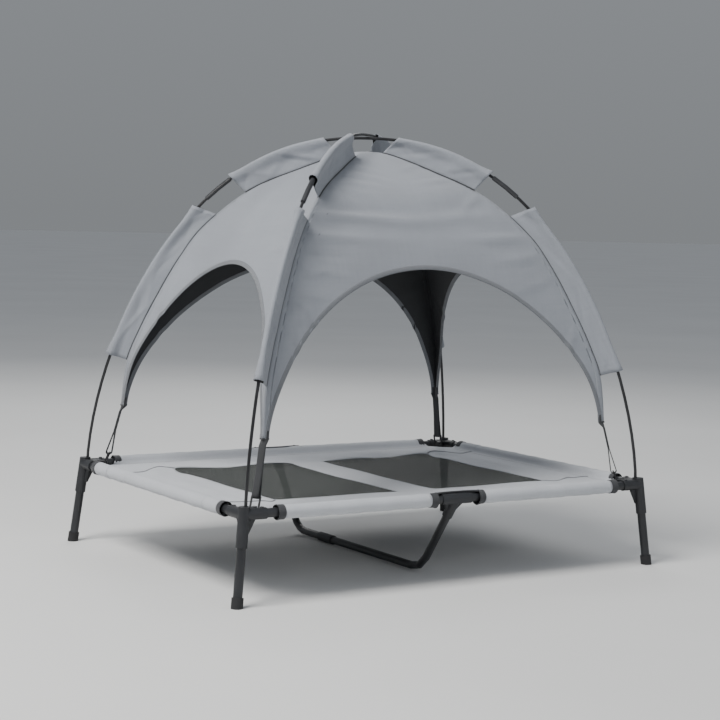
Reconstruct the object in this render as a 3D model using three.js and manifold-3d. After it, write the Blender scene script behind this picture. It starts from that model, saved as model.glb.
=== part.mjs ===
// Raised dog bed with a removable sun canopy.
//
// Steel tubes push into four moulded corner connectors and two middle tees. A sewn cover slides over
// the rails, and a bent U-leg carries the middle of the long sides. The dome canopy hangs under two
// crossed fibreglass poles, whose feet stand in sockets in the corner connectors, and four elastic
// bands pull its tongues down to hooks on those connectors.
//
// Units are millimetres. +X runs along the length, +Y to the back, +Z up, and the origin lies on the
// ground under the middle of the bed. Each corner is modelled once, in the +X +Y quarter, and mirrored.
import * as THREE from "three";
import { mergeVertices } from "three/addons/utils/BufferGeometryUtils.js";
import Module from "manifold-3d";

const wasm = await Module();
wasm.setup();

// ---------------------------------------------------------------- driving dimensions
// Frame, measured between tube axes at rail height.
const RAIL_LENGTH = 1180;
const RAIL_WIDTH = 880;
const RAIL_HEIGHT = 210;
const TUBE_RADIUS = 11;
const TUBE_WALL = 1.2;
const SPLAY_X = 22;
const SPLAY_Y = 17;
const FIT_GAP = 0.4;
const BORE_GAP = 0.8;
// How far a cutting solid runs past the surface that it cuts.
const OVERCUT = 5;

// Corner connector.
const SOCKET_RADIUS = 13.6;
const ARM_LENGTH = 57;
const CAP_TOP = 228;
const SOCKET_DROP = 75;
const LEG_BORE_TOP = 189;
const RAIL_INSET = 18;
const WEB_THICKNESS = 6;
const WEB_LENGTH = 22;
const WEB_DROP = 36;
const WEB_TAPER = 4;
const SHELF_INSET = 3;
const GUSSET_REACH = 30;
const GUSSET_TOP = 221;
const GUSSET_THICKNESS = 5;
const STUD_RADIUS = 5;
const STUD_HEIGHT = 2.6;
const STUD_INSET = 10;
const FOOT_HEIGHT = 24;
const FOOT_RADIUS = 14;
const FOOT_FLOOR = 4;

// Canopy poles. Each half of a pole is a superellipse arc in the diagonal plane.
const POLE_RADIUS = 4;
const POLE_INSET = 8;
const POLE_FOOT = 205;
const POLE_RISE = 892;
const POLE_WIDTH_POWER = 2.26;
const POLE_HEIGHT_POWER = 1.63;
const CROSSING_OFFSET = 4.3;
const POLE_SOCKET_RADIUS = 5.8;
const POLE_SOCKET_FLOOR = 196;
const POLE_BOSS_RADIUS = 9;
const POLE_BOSS_FLOOR = 3;
const FERRULE_REACH = 376;
const FERRULE_RADIUS = 6.2;
const FERRULE_BORE = 5.1;
const FERRULE_HALF_ANGLE = THREE.MathUtils.degToRad(2.9);
// How far each pole's middle section, and the sleeves on it, sit towards the left-hand end.
const OVER_SLIDE = 34;
const UNDER_SLIDE = 18;
const FERRULE_SLIDE_SHARE = 0.8;
const LOWER_SLEEVE_SLIDE_SHARE = 0.5;

// Canopy fabric. The ridge is the seam line under each pole, as distance from the centre and height.
const RIDGE = [
  [0, 1058],
  [60, 1051],
  [176, 1009],
  [308, 950],
  [425, 855],
  [491, 766],
  [548, 665],
  [595, 570],
  [627, 485],
  [640, 370],
];
const RIDGE_STEPS = 18;
const CANOPY_THICKNESS = 2;
const TONGUE_TIP = 370;
// The blank the dome is cut from runs on below the tips.
const TIP_OVERRUN = 30;
const ARCH_TOP = 765;
const FRONT_ARCH_REACH = 496;
const SIDE_ARCH_REACH = 368;
const ARCH_WIDTH_POWER = 2;
const ARCH_HEIGHT_POWER = 1.6;
const ARCH_STEPS = 11;
const FIN_THICKNESS = 2.4;
// The fin's blank starts this far under the ridge, and is trimmed back to the dome.
const FIN_ROOT = 12;
const POCKET_RADIUS = 7.2;
const POCKET_BORE = 5.4;
// A bore runs past both ends of what it cuts.
const BORE_OVERSHOOT = 1.3;
const BORE_EXTRA_ANGLE = 0.05;
// Outer edge from and to, then seam from and to, as distances from the centre along the diagonal.
const UPPER_SLEEVE = { pole: [92, 337], seam: [56, 299] };
const LOWER_SLEEVE = { pole: [434, 670], seam: [384, 625] };

// Elastic bands, their rings and the hooks that hold the rings.
const BAND_WIDTH = 16;
const BAND_PLY = 1.6;
const BAND_SLACK = 0.3;
const BAND_LOOP_RADIUS = 8;
const BAND_FOOT = [669, 245];
const RING_WIDTH = 25;
const RING_LENGTH = 34;
const RING_BAR = 3.8;
const RING_FOOT = [681, 211.4];
const RING_LEAN = Math.atan2(12, 30);
const HOOK_WIDTH = 10;
const HOOK_REACH = 673;
const HOOK_TIP = 3;
const HOOK_DROP = 10;

// Bed cover.
const SHEET_TOP = 209;
const SHEET_THICKNESS = 3;
const COVER_RADIUS = 17;
const COVER_BORE = 12.2;
const BORE_OVERRUN = 26;
const COVER_SIDES = 16;
const CORNER_OPENING = 84;
// At a corner the sheet's edge starts this far past the sleeve's mouth, and is cut in by this much.
const CORNER_GAP = 4;
const CORNER_CUT = 12;
const TEE_OPENING = 62;
const TEE_OPENING_DEPTH = 34;
const WINDOW_INNER = 50;
const WINDOW_OUTER = 412;
const WINDOW_HALF_WIDTH = 272;
const WINDOW_CORNER = 22;
const MESH_THICKNESS = 1.6;

// Middle tee and U-leg.
const TEE_HALF_LENGTH = 44;
const TEE_RADIUS = 13.4;
const TEE_SOCKET_DROP = 58;
const TEE_WEB_LENGTH = 34;
const TEE_WEB_TIP = 9;
const TEE_WEB_CLEARANCE = 10;
const U_TUBE_RADIUS = 10;
const U_TOP_GAP = 7;
const U_SLOPE_END = [318, 38];
const U_FOOT = 288;
const U_BEND_BEFORE = 9;
const U_BEND_AFTER = 26;
const U_GROUND = 13;
const JOINER_RADIUS = 12.2;
const JOINER_HALF_LENGTH = 34;
const JOINER_OFFSET = 150;

// Sides of round sections: frame tubes, poles and small round details.
const ROUND = 20;
const BORE_SIDES = 14;
const FINE = 12;
const POLE_SIDES = 8;

// ---------------------------------------------------------------- derived values
const HALF_LENGTH = RAIL_LENGTH / 2;
const HALF_WIDTH = RAIL_WIDTH / 2;
const CORNER_REACH = Math.hypot(HALF_LENGTH, HALF_WIDTH);
const COS = HALF_LENGTH / CORNER_REACH;
const SIN = HALF_WIDTH / CORNER_REACH;
const POLE_REACH = CORNER_REACH - POLE_INSET;
const point = (x, y, z) => new THREE.Vector3(x, y, z);
const ORIGIN = point(0, 0, 0);
const AXIS_X = point(1, 0, 0);
const AXIS_Y = point(0, 1, 0);
const AXIS_Z = point(0, 0, 1);
const DIAGONAL = point(COS, SIN, 0);
const ACROSS = DIAGONAL.clone().cross(AXIS_Z);
const LEG_DIRECTION = point(SPLAY_X, SPLAY_Y, -RAIL_HEIGHT).normalize();

// ---------------------------------------------------------------- materials
function finish(color, roughness, metalness = 0) {
  return new THREE.MeshStandardMaterial({ color, roughness, metalness });
}

const steelPaint = finish(0x4a4d54, 0.45, 0.3);
const connectorPlastic = finish(0x3d4047, 0.55);
const footRubber = finish(0x1d1e20, 0.85);
const fibreglass = finish(0x1a1b1c, 0.35);
const ferruleSteel = finish(0x26272a, 0.4, 0.6);
const hookPlastic = finish(0x151617, 0.5);
const canopyFabric = finish(0x878b94, 0.8);
const coverFabric = finish(0xbfc1c6, 0.85);
const meshFabric = finish(0x4f5a58, 0.9);
const elastic = finish(0x161719, 0.9);

// ---------------------------------------------------------------- solids
function toSolid(geometry) {
  const bare = geometry.clone();
  bare.deleteAttribute("normal");
  bare.deleteAttribute("uv");
  const merged = mergeVertices(bare, 1e-4);
  return new wasm.Manifold(
    new wasm.Mesh({
      numProp: 3,
      vertProperties: new Float32Array(merged.attributes.position.array),
      triVerts: new Uint32Array(merged.index.array),
    }),
  );
}

function toGeometry(solid) {
  const mesh = solid.getMesh();
  const geometry = new THREE.BufferGeometry();
  geometry.setAttribute("position", new THREE.BufferAttribute(mesh.vertProperties, 3));
  geometry.setIndex(new THREE.BufferAttribute(mesh.triVerts, 1));
  const flat = geometry.toNonIndexed();
  flat.computeVertexNormals();
  return flat;
}

const unite = (...solids) => solids.reduce((whole, next) => whole.add(next));

function rod(from, to, radius, sides = ROUND) {
  const along = to.clone().sub(from);
  const geometry = new THREE.CylinderGeometry(radius, radius, along.length(), sides);
  const turn = new THREE.Quaternion().setFromUnitVectors(AXIS_Y, along.normalize());
  geometry.applyQuaternion(turn);
  geometry.translate((from.x + to.x) / 2, (from.y + to.y) / 2, (from.z + to.z) / 2);
  return geometry;
}

const solidRod = (from, to, radius, sides) => toSolid(rod(from, to, radius, sides));

function box(min, max) {
  const geometry = new THREE.BoxGeometry(max.x - min.x, max.y - min.y, max.z - min.z);
  geometry.translate((min.x + max.x) / 2, (min.y + max.y) / 2, (min.z + max.z) / 2);
  return toSolid(geometry);
}

// Extrudes a shape by depth, half to each side of the plane through origin with the given axes.
function slab(shape, depth, origin, axisX, axisY, curveSegments = 6) {
  const geometry = new THREE.ExtrudeGeometry(shape, { depth, bevelEnabled: false, curveSegments });
  geometry.translate(0, 0, -depth / 2);
  const placement = new THREE.Matrix4().makeBasis(axisX, axisY, axisX.clone().cross(axisY));
  placement.setPosition(origin);
  geometry.applyMatrix4(placement);
  return geometry;
}

function sweep(curve, radius, steps, sides) {
  const section = new THREE.Shape();
  section.absarc(0, 0, radius, 0, Math.PI * 2, false);
  const curveSegments = sides / 2;
  const options = { steps, curveSegments, bevelEnabled: false, extrudePath: curve };
  return new THREE.ExtrudeGeometry(section, options);
}

// A place in the diagonal plane, from its distance from the centre and its height.
const onDiagonal = (reach, height) => point(reach * COS, reach * SIN, height);
const polygon = (points) => new THREE.Shape(points.map(([x, y]) => new THREE.Vector2(x, y)));

function part(name, geometry, material) {
  const mesh = new THREE.Mesh(geometry, material);
  mesh.name = name;
  return mesh;
}

// ---------------------------------------------------------------- frame
const legAt = (z) => {
  const axisPoint = point(HALF_LENGTH, HALF_WIDTH, RAIL_HEIGHT);
  return axisPoint.addScaledVector(LEG_DIRECTION, (z - RAIL_HEIGHT) / LEG_DIRECTION.z);
};

function cornerConnector() {
  const corner = point(HALF_LENGTH, HALF_WIDTH, RAIL_HEIGHT);
  const armX = corner.clone().addScaledVector(AXIS_X, -ARM_LENGTH);
  const armY = corner.clone().addScaledVector(AXIS_Y, -ARM_LENGTH);
  const socket = solidRod(legAt(RAIL_HEIGHT - SOCKET_DROP), legAt(CAP_TOP + OVERCUT), SOCKET_RADIUS);
  const boss = solidRod(
    onDiagonal(POLE_REACH, POLE_SOCKET_FLOOR - POLE_BOSS_FLOOR),
    onDiagonal(POLE_REACH, CAP_TOP + OVERCUT),
    POLE_BOSS_RADIUS,
  );
  const webAlong = (axis) => {
    const outline = polygon([
      [0, 0],
      [-SOCKET_RADIUS - WEB_LENGTH, 0],
      [-SOCKET_RADIUS + WEB_TAPER, -SOCKET_RADIUS - WEB_DROP],
      [0, -SOCKET_RADIUS - WEB_DROP],
    ]);
    return toSolid(slab(outline, WEB_THICKNESS, corner, axis, AXIS_Z));
  };
  const outer = unite(
    socket,
    boss,
    solidRod(corner, armX, SOCKET_RADIUS),
    solidRod(corner, armY, SOCKET_RADIUS),
    webAlong(AXIS_X),
    webAlong(AXIS_Y),
    horizontalGusset(corner),
    stud(armX.clone().addScaledVector(AXIS_X, STUD_INSET)),
    stud(armY.clone().addScaledVector(AXIS_Y, STUD_INSET)),
  );
  const above = box(
    point(HALF_LENGTH - ARM_LENGTH, HALF_WIDTH - ARM_LENGTH, CAP_TOP),
    point(HALF_LENGTH + ARM_LENGTH, HALF_WIDTH + ARM_LENGTH, CAP_TOP + ARM_LENGTH),
  );
  const armBore = (axis) => {
    const bottom = corner.clone().addScaledVector(axis, FIT_GAP - RAIL_INSET);
    const mouth = corner.clone().addScaledVector(axis, -ARM_LENGTH - OVERCUT);
    return solidRod(bottom, mouth, TUBE_RADIUS + BORE_GAP, BORE_SIDES);
  };
  const legBore = solidRod(
    legAt(RAIL_HEIGHT - SOCKET_DROP - OVERCUT),
    legAt(LEG_BORE_TOP),
    TUBE_RADIUS + BORE_GAP,
    BORE_SIDES,
  );
  const poleBore = solidRod(
    onDiagonal(POLE_REACH, POLE_SOCKET_FLOOR),
    onDiagonal(POLE_REACH, CAP_TOP + 2 * OVERCUT),
    POLE_SOCKET_RADIUS,
    FINE,
  );
  const cuts = [above, armBore(AXIS_X), armBore(AXIS_Y), legBore, poleBore];
  return toGeometry(cuts.reduce((whole, cut) => whole.subtract(cut), outer));
}

// The flat web between the two arms, with the downturned hook that the canopy ring hangs on.
function horizontalGusset(corner) {
  const middle = GUSSET_TOP - GUSSET_THICKNESS / 2;
  const outline = polygon([[0, 0], [-ARM_LENGTH + SHELF_INSET, 0], [0, -ARM_LENGTH + SHELF_INSET]]);
  const plate = toSolid(slab(outline, GUSSET_THICKNESS, corner.clone().setZ(middle), AXIS_X, AXIS_Y));
  const profile = polygon([
    [HOOK_REACH, GUSSET_TOP],
    [HOOK_REACH, GUSSET_TOP - HOOK_DROP],
    [HOOK_REACH + HOOK_TIP, GUSSET_TOP - HOOK_DROP],
    [HOOK_REACH + HOOK_TIP, GUSSET_TOP - GUSSET_THICKNESS],
    [CORNER_REACH - GUSSET_REACH, GUSSET_TOP - GUSSET_THICKNESS],
    [CORNER_REACH - GUSSET_REACH, GUSSET_TOP],
  ]);
  return plate.add(toSolid(slab(profile, HOOK_WIDTH, ORIGIN, DIAGONAL, AXIS_Z)));
}

// The domed head that closes a screw in the top of an arm.
function stud(place) {
  const base = SOCKET_RADIUS - 1;
  const profile = [
    new THREE.Vector2(0, 0),
    new THREE.Vector2(STUD_RADIUS, 0),
    new THREE.Vector2(STUD_RADIUS, 1.6),
    new THREE.Vector2(STUD_RADIUS * 0.75, 1 + STUD_HEIGHT * 0.8),
    new THREE.Vector2(0, 1 + STUD_HEIGHT),
  ];
  const head = new THREE.LatheGeometry(profile, FINE);
  head.rotateX(Math.PI / 2);
  head.translate(place.x, place.y, place.z + base);
  return toSolid(head);
}

function tube(from, to, radius = TUBE_RADIUS) {
  const along = to.clone().sub(from).normalize();
  const shell = solidRod(from, to, radius);
  const bore = solidRod(
    from.clone().addScaledVector(along, -OVERCUT),
    to.clone().addScaledVector(along, OVERCUT),
    radius - TUBE_WALL,
    BORE_SIDES,
  );
  return toGeometry(shell.subtract(bore));
}

function footCap() {
  const outer = solidRod(legAt(-OVERCUT), legAt(FOOT_HEIGHT), FOOT_RADIUS);
  const below = box(
    point(HALF_LENGTH - ARM_LENGTH, HALF_WIDTH - ARM_LENGTH, -FOOT_HEIGHT),
    point(HALF_LENGTH + ARM_LENGTH, HALF_WIDTH + ARM_LENGTH, 0),
  );
  const mouth = legAt(FOOT_HEIGHT + OVERCUT);
  const bore = solidRod(legAt(FOOT_FLOOR), mouth, TUBE_RADIUS + BORE_GAP, BORE_SIDES);
  return toGeometry(outer.subtract(below).subtract(bore));
}

// The tee on the middle of a long side, seen from the +Y side of the bed.
function middleTee() {
  const hub = point(0, HALF_WIDTH, RAIL_HEIGHT);
  const collar = solidRod(
    point(-TEE_HALF_LENGTH, HALF_WIDTH, RAIL_HEIGHT),
    point(TEE_HALF_LENGTH, HALF_WIDTH, RAIL_HEIGHT),
    TEE_RADIUS,
  );
  const slope = slopeDirection();
  const socketEnd = hub.clone().addScaledVector(slope, TEE_SOCKET_DROP);
  const socket = solidRod(hub, socketEnd, TEE_RADIUS - FIT_GAP);
  const webFoot = TEE_WEB_CLEARANCE - TEE_SOCKET_DROP;
  const web = polygon([
    [-TEE_WEB_LENGTH, 0],
    [-TEE_WEB_TIP, webFoot],
    [TEE_WEB_TIP, webFoot],
    [TEE_WEB_LENGTH, 0],
  ]);
  const webPlate = toSolid(slab(web, WEB_THICKNESS, hub, AXIS_X, slope.clone().negate()));
  const railBore = solidRod(
    point(-TEE_HALF_LENGTH - OVERCUT, HALF_WIDTH, RAIL_HEIGHT),
    point(TEE_HALF_LENGTH + OVERCUT, HALF_WIDTH, RAIL_HEIGHT),
    TUBE_RADIUS + BORE_GAP,
    BORE_SIDES,
  );
  const legBore = solidRod(
    hub.clone().addScaledVector(slope, TUBE_RADIUS + OVERCUT),
    socketEnd.clone().addScaledVector(slope, OVERCUT),
    U_TUBE_RADIUS + BORE_GAP,
    BORE_SIDES,
  );
  return toGeometry(unite(collar, socket, webPlate).subtract(railBore).subtract(legBore));
}

function slopeDirection() {
  const [endY, endZ] = U_SLOPE_END;
  return point(0, endY - HALF_WIDTH, endZ - RAIL_HEIGHT).normalize();
}

// One bent half of the U-leg: down the slope, round the bend and along the ground to the joiner.
function middleLeg(groundEnd) {
  const slope = slopeDirection();
  const hub = point(0, HALF_WIDTH, RAIL_HEIGHT);
  const top = hub.clone().addScaledVector(slope, TUBE_RADIUS + U_TOP_GAP);
  const [endY, endZ] = U_SLOPE_END;
  const path = new THREE.CurvePath();
  const bendStart = point(0, endY, endZ);
  const bendEnd = point(0, U_FOOT - U_BEND_AFTER, U_GROUND);
  path.add(new THREE.LineCurve3(top, bendStart));
  path.add(new THREE.QuadraticBezierCurve3(bendStart, point(0, U_FOOT + U_BEND_BEFORE, U_GROUND), bendEnd));
  path.add(new THREE.LineCurve3(bendEnd, point(0, groundEnd, U_GROUND)));
  const bent = new THREE.CatmullRomCurve3(path.getSpacedPoints(22));
  const steps = 18;
  const shell = toSolid(sweep(bent, U_TUBE_RADIUS, steps, BORE_SIDES));
  const bore = toSolid(sweep(extended(bent, OVERCUT), U_TUBE_RADIUS - TUBE_WALL, steps, POLE_SIDES));
  return toGeometry(shell.subtract(bore));
}

// The same curve run on by a straight stretch at each end.
function extended(curve, overrun) {
  const points = curve.getSpacedPoints(22);
  points.unshift(points[0].clone().addScaledVector(curve.getTangent(0), -overrun));
  points.push(points[points.length - 1].clone().addScaledVector(curve.getTangent(1), overrun));
  return new THREE.CatmullRomCurve3(points);
}

// ---------------------------------------------------------------- cover
function bedCover() {
  const sheetMiddle = SHEET_TOP - SHEET_THICKNESS / 2;
  const chamfer = CORNER_OPENING - CORNER_CUT;
  const xEdge = HALF_LENGTH;
  const yEdge = HALF_WIDTH;
  const outline = polygon([
    [xEdge, -yEdge + CORNER_OPENING + CORNER_GAP],
    [xEdge, yEdge - CORNER_OPENING - CORNER_GAP],
    [xEdge - chamfer, yEdge - CORNER_CUT],
    [xEdge - CORNER_OPENING - CORNER_GAP, yEdge],
    [-xEdge + CORNER_OPENING + CORNER_GAP, yEdge],
    [-xEdge + chamfer, yEdge - CORNER_CUT],
    [-xEdge, yEdge - CORNER_OPENING - CORNER_GAP],
    [-xEdge, -yEdge + CORNER_OPENING + CORNER_GAP],
    [-xEdge + chamfer, -yEdge + CORNER_CUT],
    [-xEdge + CORNER_OPENING + CORNER_GAP, -yEdge],
    [xEdge - CORNER_OPENING - CORNER_GAP, -yEdge],
    [xEdge - chamfer, -yEdge + CORNER_CUT],
  ]);
  const sheet = toSolid(slab(outline, SHEET_THICKNESS, point(0, 0, sheetMiddle), AXIS_X, AXIS_Y));
  const windows = [-1, 1].map((side) => toSolid(windowSlab(side, 0, COVER_RADIUS)));
  const sleeves = railRods(COVER_RADIUS, -CORNER_OPENING);
  const bores = railRods(COVER_BORE, BORE_OVERRUN - CORNER_OPENING);
  const teeOpenings = [-1, 1].map((side) => {
    const inner = side * (HALF_WIDTH - TEE_OPENING_DEPTH);
    const outer = side * (HALF_WIDTH + 2 * COVER_RADIUS);
    return box(
      point(-TEE_OPENING, Math.min(inner, outer), RAIL_HEIGHT - 2 * COVER_RADIUS),
      point(TEE_OPENING, Math.max(inner, outer), RAIL_HEIGHT + 2 * COVER_RADIUS),
    );
  });
  const solid = unite(sheet, ...sleeves);
  const cuts = [...windows, ...bores, ...teeOpenings];
  return toGeometry(cuts.reduce((whole, cut) => whole.subtract(cut), solid));
}

// Solid rods on the four rail axes, from corner to corner and longer by overrun at each end.
function railRods(radius, overrun) {
  const longEnd = HALF_LENGTH + overrun;
  const shortEnd = HALF_WIDTH + overrun;
  return [-1, 1].flatMap((side) => {
    const longFrom = point(-longEnd, side * HALF_WIDTH, RAIL_HEIGHT);
    const longTo = longFrom.clone().setX(longEnd);
    const shortFrom = point(side * HALF_LENGTH, -shortEnd, RAIL_HEIGHT);
    const shortTo = shortFrom.clone().setY(shortEnd);
    return [
      solidRod(longFrom, longTo, radius, COVER_SIDES),
      solidRod(shortFrom, shortTo, radius, COVER_SIDES),
    ];
  });
}

// A rounded rectangle over one mesh window, smaller by the given gap all round.
function windowSlab(side, gap, thickness) {
  const half = WINDOW_HALF_WIDTH - gap;
  const inner = WINDOW_INNER + gap;
  const outer = WINDOW_OUTER - gap;
  const r = WINDOW_CORNER;
  const shape = new THREE.Shape();
  shape.moveTo(inner + r, -half);
  shape.lineTo(outer - r, -half);
  shape.absarc(outer - r, -half + r, r, -Math.PI / 2, 0, false);
  shape.lineTo(outer, half - r);
  shape.absarc(outer - r, half - r, r, 0, Math.PI / 2, false);
  shape.lineTo(inner + r, half);
  shape.absarc(inner + r, half - r, r, Math.PI / 2, Math.PI, false);
  shape.lineTo(inner, -half + r);
  shape.absarc(inner + r, -half + r, r, Math.PI, Math.PI * 1.5, false);
  const geometry = slab(shape, thickness, point(0, 0, SHEET_TOP - SHEET_THICKNESS / 2), AXIS_X, AXIS_Y, 5);
  if (side < 0) {
    geometry.rotateZ(Math.PI);
  }
  return geometry;
}

// ---------------------------------------------------------------- canopy poles
// Angle 0 is the foot of the arc and a right angle is its top.
function onPole(angle, rise) {
  const reach = POLE_REACH * Math.cos(angle) ** (2 / POLE_WIDTH_POWER);
  const height = POLE_FOOT + rise * Math.sin(angle) ** (2 / POLE_HEIGHT_POWER);
  return onDiagonal(reach, height);
}

const poleAngle = (reach) => Math.acos((reach / POLE_REACH) ** (POLE_WIDTH_POWER / 2));

function poleCurve(fromAngle, toAngle, rise, count) {
  const points = [];
  for (let i = 0; i <= count; i += 1) {
    points.push(onPole(fromAngle + ((toAngle - fromAngle) * i) / count, rise));
  }
  return points;
}

const ferruleAngle = (slide) => poleAngle(FERRULE_REACH + FERRULE_SLIDE_SHARE * slide);
const JOINT_GAP_ANGLE = 0.0006;
// The arc is drawn from just above its foot, and up to just short of its top.
const FOOT_ANGLE = 0.07;
const TOP_ANGLE = Math.PI / 2 - 0.03;

function lowerPole(rise, slide) {
  const points = poleCurve(FOOT_ANGLE, ferruleAngle(slide) - JOINT_GAP_ANGLE, rise, 14);
  points.unshift(onDiagonal(POLE_REACH, POLE_SOCKET_FLOOR + FIT_GAP));
  return sweep(new THREE.CatmullRomCurve3(points), POLE_RADIUS, 18, POLE_SIDES);
}

// The middle section of a pole, from ferrule to ferrule. The mirror sign picks the diagonal.
function upperPole(rise, mirror, slide) {
  const half = (endSlide) => poleCurve(ferruleAngle(endSlide) + JOINT_GAP_ANGLE, TOP_ANGLE, rise, 9);
  const rising = half(-slide);
  const falling = half(slide).map((p) => point(-p.x, -p.y, p.z)).reverse();
  const points = [...rising, onDiagonal(0, POLE_FOOT + rise), ...falling];
  const path = new THREE.CatmullRomCurve3(points.map((p) => point(p.x, p.y * mirror, p.z)));
  return sweep(path, POLE_RADIUS, 26, POLE_SIDES);
}

function ferrule(rise, slide) {
  const middle = ferruleAngle(slide);
  const path = (reach) => {
    const points = poleCurve(middle - reach, middle + reach, rise, 4);
    return new THREE.CatmullRomCurve3(points);
  };
  const outer = toSolid(sweep(path(FERRULE_HALF_ANGLE), FERRULE_RADIUS, 2, FINE));
  const bore = toSolid(sweep(path(FERRULE_HALF_ANGLE * BORE_OVERSHOOT), FERRULE_BORE, 4, POLE_SIDES));
  return toGeometry(outer.subtract(bore));
}

// ---------------------------------------------------------------- canopy fabric
const ridgeCurve = new THREE.SplineCurve(RIDGE.map(([reach, height]) => new THREE.Vector2(reach, height)));
const ridgePoints = ridgeCurve.getSpacedPoints(RIDGE_STEPS);

// The ridge moved square to itself, inwards when distance is negative.
function offsetRidge(distance) {
  return ridgePoints.map((p, i) => {
    const before = ridgePoints[Math.max(i - 1, 0)];
    const after = ridgePoints[Math.min(i + 1, RIDGE_STEPS)];
    const along = after.clone().sub(before).normalize();
    const moved = new THREE.Vector2(p.x - along.y * distance, p.y + along.x * distance);
    return i === 0 ? new THREE.Vector2(0, p.y + distance) : moved;
  });
}

// The dome between the four ridges: where a long barrel and a cross barrel meet.
function domeSolid(distance, foot) {
  const profile = offsetRidge(distance);
  const last = profile[profile.length - 1];
  profile.push(new THREE.Vector2(last.x, foot));
  const barrel = (scale, axis, half) => {
    const right = profile.map((p) => new THREE.Vector2(p.x * scale, p.y));
    const left = right.slice(1).map((p) => new THREE.Vector2(-p.x, p.y)).reverse();
    return toSolid(slab(new THREE.Shape([...left, ...right].reverse()), half * 2, ORIGIN, axis, AXIS_Z));
  };
  return barrel(COS, AXIS_X, HALF_WIDTH * 2).intersect(barrel(SIN, AXIS_Y, HALF_LENGTH * 2));
}

// The open arch of a side, cut straight through the dome.
function archCut(reach, axis, half) {
  const points = [];
  for (let i = 0; i <= ARCH_STEPS * 2; i += 1) {
    const angle = (Math.PI * i) / (ARCH_STEPS * 2);
    const width = Math.sign(Math.cos(angle)) * Math.abs(Math.cos(angle)) ** (2 / ARCH_WIDTH_POWER);
    const height = Math.abs(Math.sin(angle)) ** (2 / ARCH_HEIGHT_POWER);
    points.push(new THREE.Vector2(width * reach, TONGUE_TIP + height * (ARCH_TOP - TONGUE_TIP)));
  }
  points.push(new THREE.Vector2(-reach, TONGUE_TIP - 2 * TIP_OVERRUN));
  points.push(new THREE.Vector2(reach, TONGUE_TIP - 2 * TIP_OVERRUN));
  return toSolid(slab(new THREE.Shape(points), half * 2, ORIGIN, axis, AXIS_Z));
}

function canopyDome() {
  const shell = domeSolid(0, TONGUE_TIP).subtract(domeSolid(-CANOPY_THICKNESS, TONGUE_TIP - TIP_OVERRUN));
  const open = shell
    .subtract(archCut(FRONT_ARCH_REACH, AXIS_X, RAIL_WIDTH))
    .subtract(archCut(SIDE_ARCH_REACH, AXIS_Y, RAIL_LENGTH));
  return toGeometry(open);
}

const ridgeHeight = (reach) => {
  const next = ridgePoints.findIndex((p) => p.x >= reach);
  const [a, b] = [ridgePoints[next - 1], ridgePoints[next]];
  return a.y + ((b.y - a.y) * (reach - a.x)) / (b.x - a.x);
};

// The sleeve's span with its upper end, and its lower end too unless that stays, moved by slide.
const slid = ({ pole, seam }, slide, lowerStays = false) => {
  const move = ([from, to]) => [from + slide, lowerStays ? to : to + slide];
  return { pole: move(pole), seam: move(seam) };
};

// A flat fin from the ridge seam to the pole, with a round pocket along its outer edge.
function poleSleeve({ pole, seam }, rise) {
  const [fromAngle, toAngle] = pole.map(poleAngle);
  const edge = poleCurve(fromAngle, toAngle, rise, 6);
  const outerLine = edge.map((p) => [Math.hypot(p.x, p.y), p.z]);
  const seamLine = seam.map((reach) => [reach, ridgeHeight(reach) - FIN_ROOT]).reverse();
  const fin = toSolid(slab(polygon([...outerLine, ...seamLine]), FIN_THICKNESS, ORIGIN, DIAGONAL, AXIS_Z));
  const pocket = toSolid(sweep(new THREE.CatmullRomCurve3(edge), POCKET_RADIUS, 6, POLE_SIDES));
  const longer = poleCurve(fromAngle + BORE_EXTRA_ANGLE, toAngle - BORE_EXTRA_ANGLE, rise, 9);
  const bore = toSolid(sweep(new THREE.CatmullRomCurve3(longer), POCKET_BORE, 8, POLE_SIDES));
  return toGeometry(fin.add(pocket).subtract(bore).subtract(domeSolid(FIT_GAP, TONGUE_TIP)));
}

// ---------------------------------------------------------------- bands and rings
function elasticBand() {
  const [footReach, footHeight] = BAND_FOOT;
  const tip = ridgePoints[RIDGE_STEPS].x;
  const top = TONGUE_TIP - FIT_GAP;
  const outline = (inset) => {
    const radius = BAND_LOOP_RADIUS - inset;
    const head = BAND_PLY + BAND_SLACK - inset;
    const shape = new THREE.Path();
    shape.moveTo(tip - 2 + head, top - inset * 2);
    shape.lineTo(tip - 2 - head, top - inset * 2);
    shape.lineTo(footReach - radius, footHeight);
    shape.absarc(footReach, footHeight, radius, Math.PI, Math.PI * 2, false);
    shape.lineTo(tip - 2 + head, top - inset * 2);
    return shape;
  };
  const band = new THREE.Shape(outline(0).getPoints(8));
  band.holes.push(outline(BAND_PLY));
  return slab(band, BAND_WIDTH, ORIGIN, DIAGONAL, AXIS_Z, 8);
}

function canopyRing() {
  const shape = new THREE.Shape();
  const half = RING_WIDTH / 2;
  shape.moveTo(-half, 0);
  shape.lineTo(half, 0);
  shape.lineTo(half, RING_LENGTH);
  shape.lineTo(-half, RING_LENGTH);
  const hole = new THREE.Path();
  hole.moveTo(-half + RING_BAR, RING_BAR);
  hole.lineTo(-half + RING_BAR, RING_LENGTH - RING_BAR);
  hole.lineTo(half - RING_BAR, RING_LENGTH - RING_BAR);
  hole.lineTo(half - RING_BAR, RING_BAR);
  shape.holes.push(hole);
  const up = onDiagonal(-Math.sin(RING_LEAN), Math.cos(RING_LEAN));
  return slab(shape, RING_BAR, onDiagonal(...RING_FOOT), ACROSS.clone().negate(), up);
}

// ---------------------------------------------------------------- assembly
const dogBed = new THREE.Group();

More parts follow.
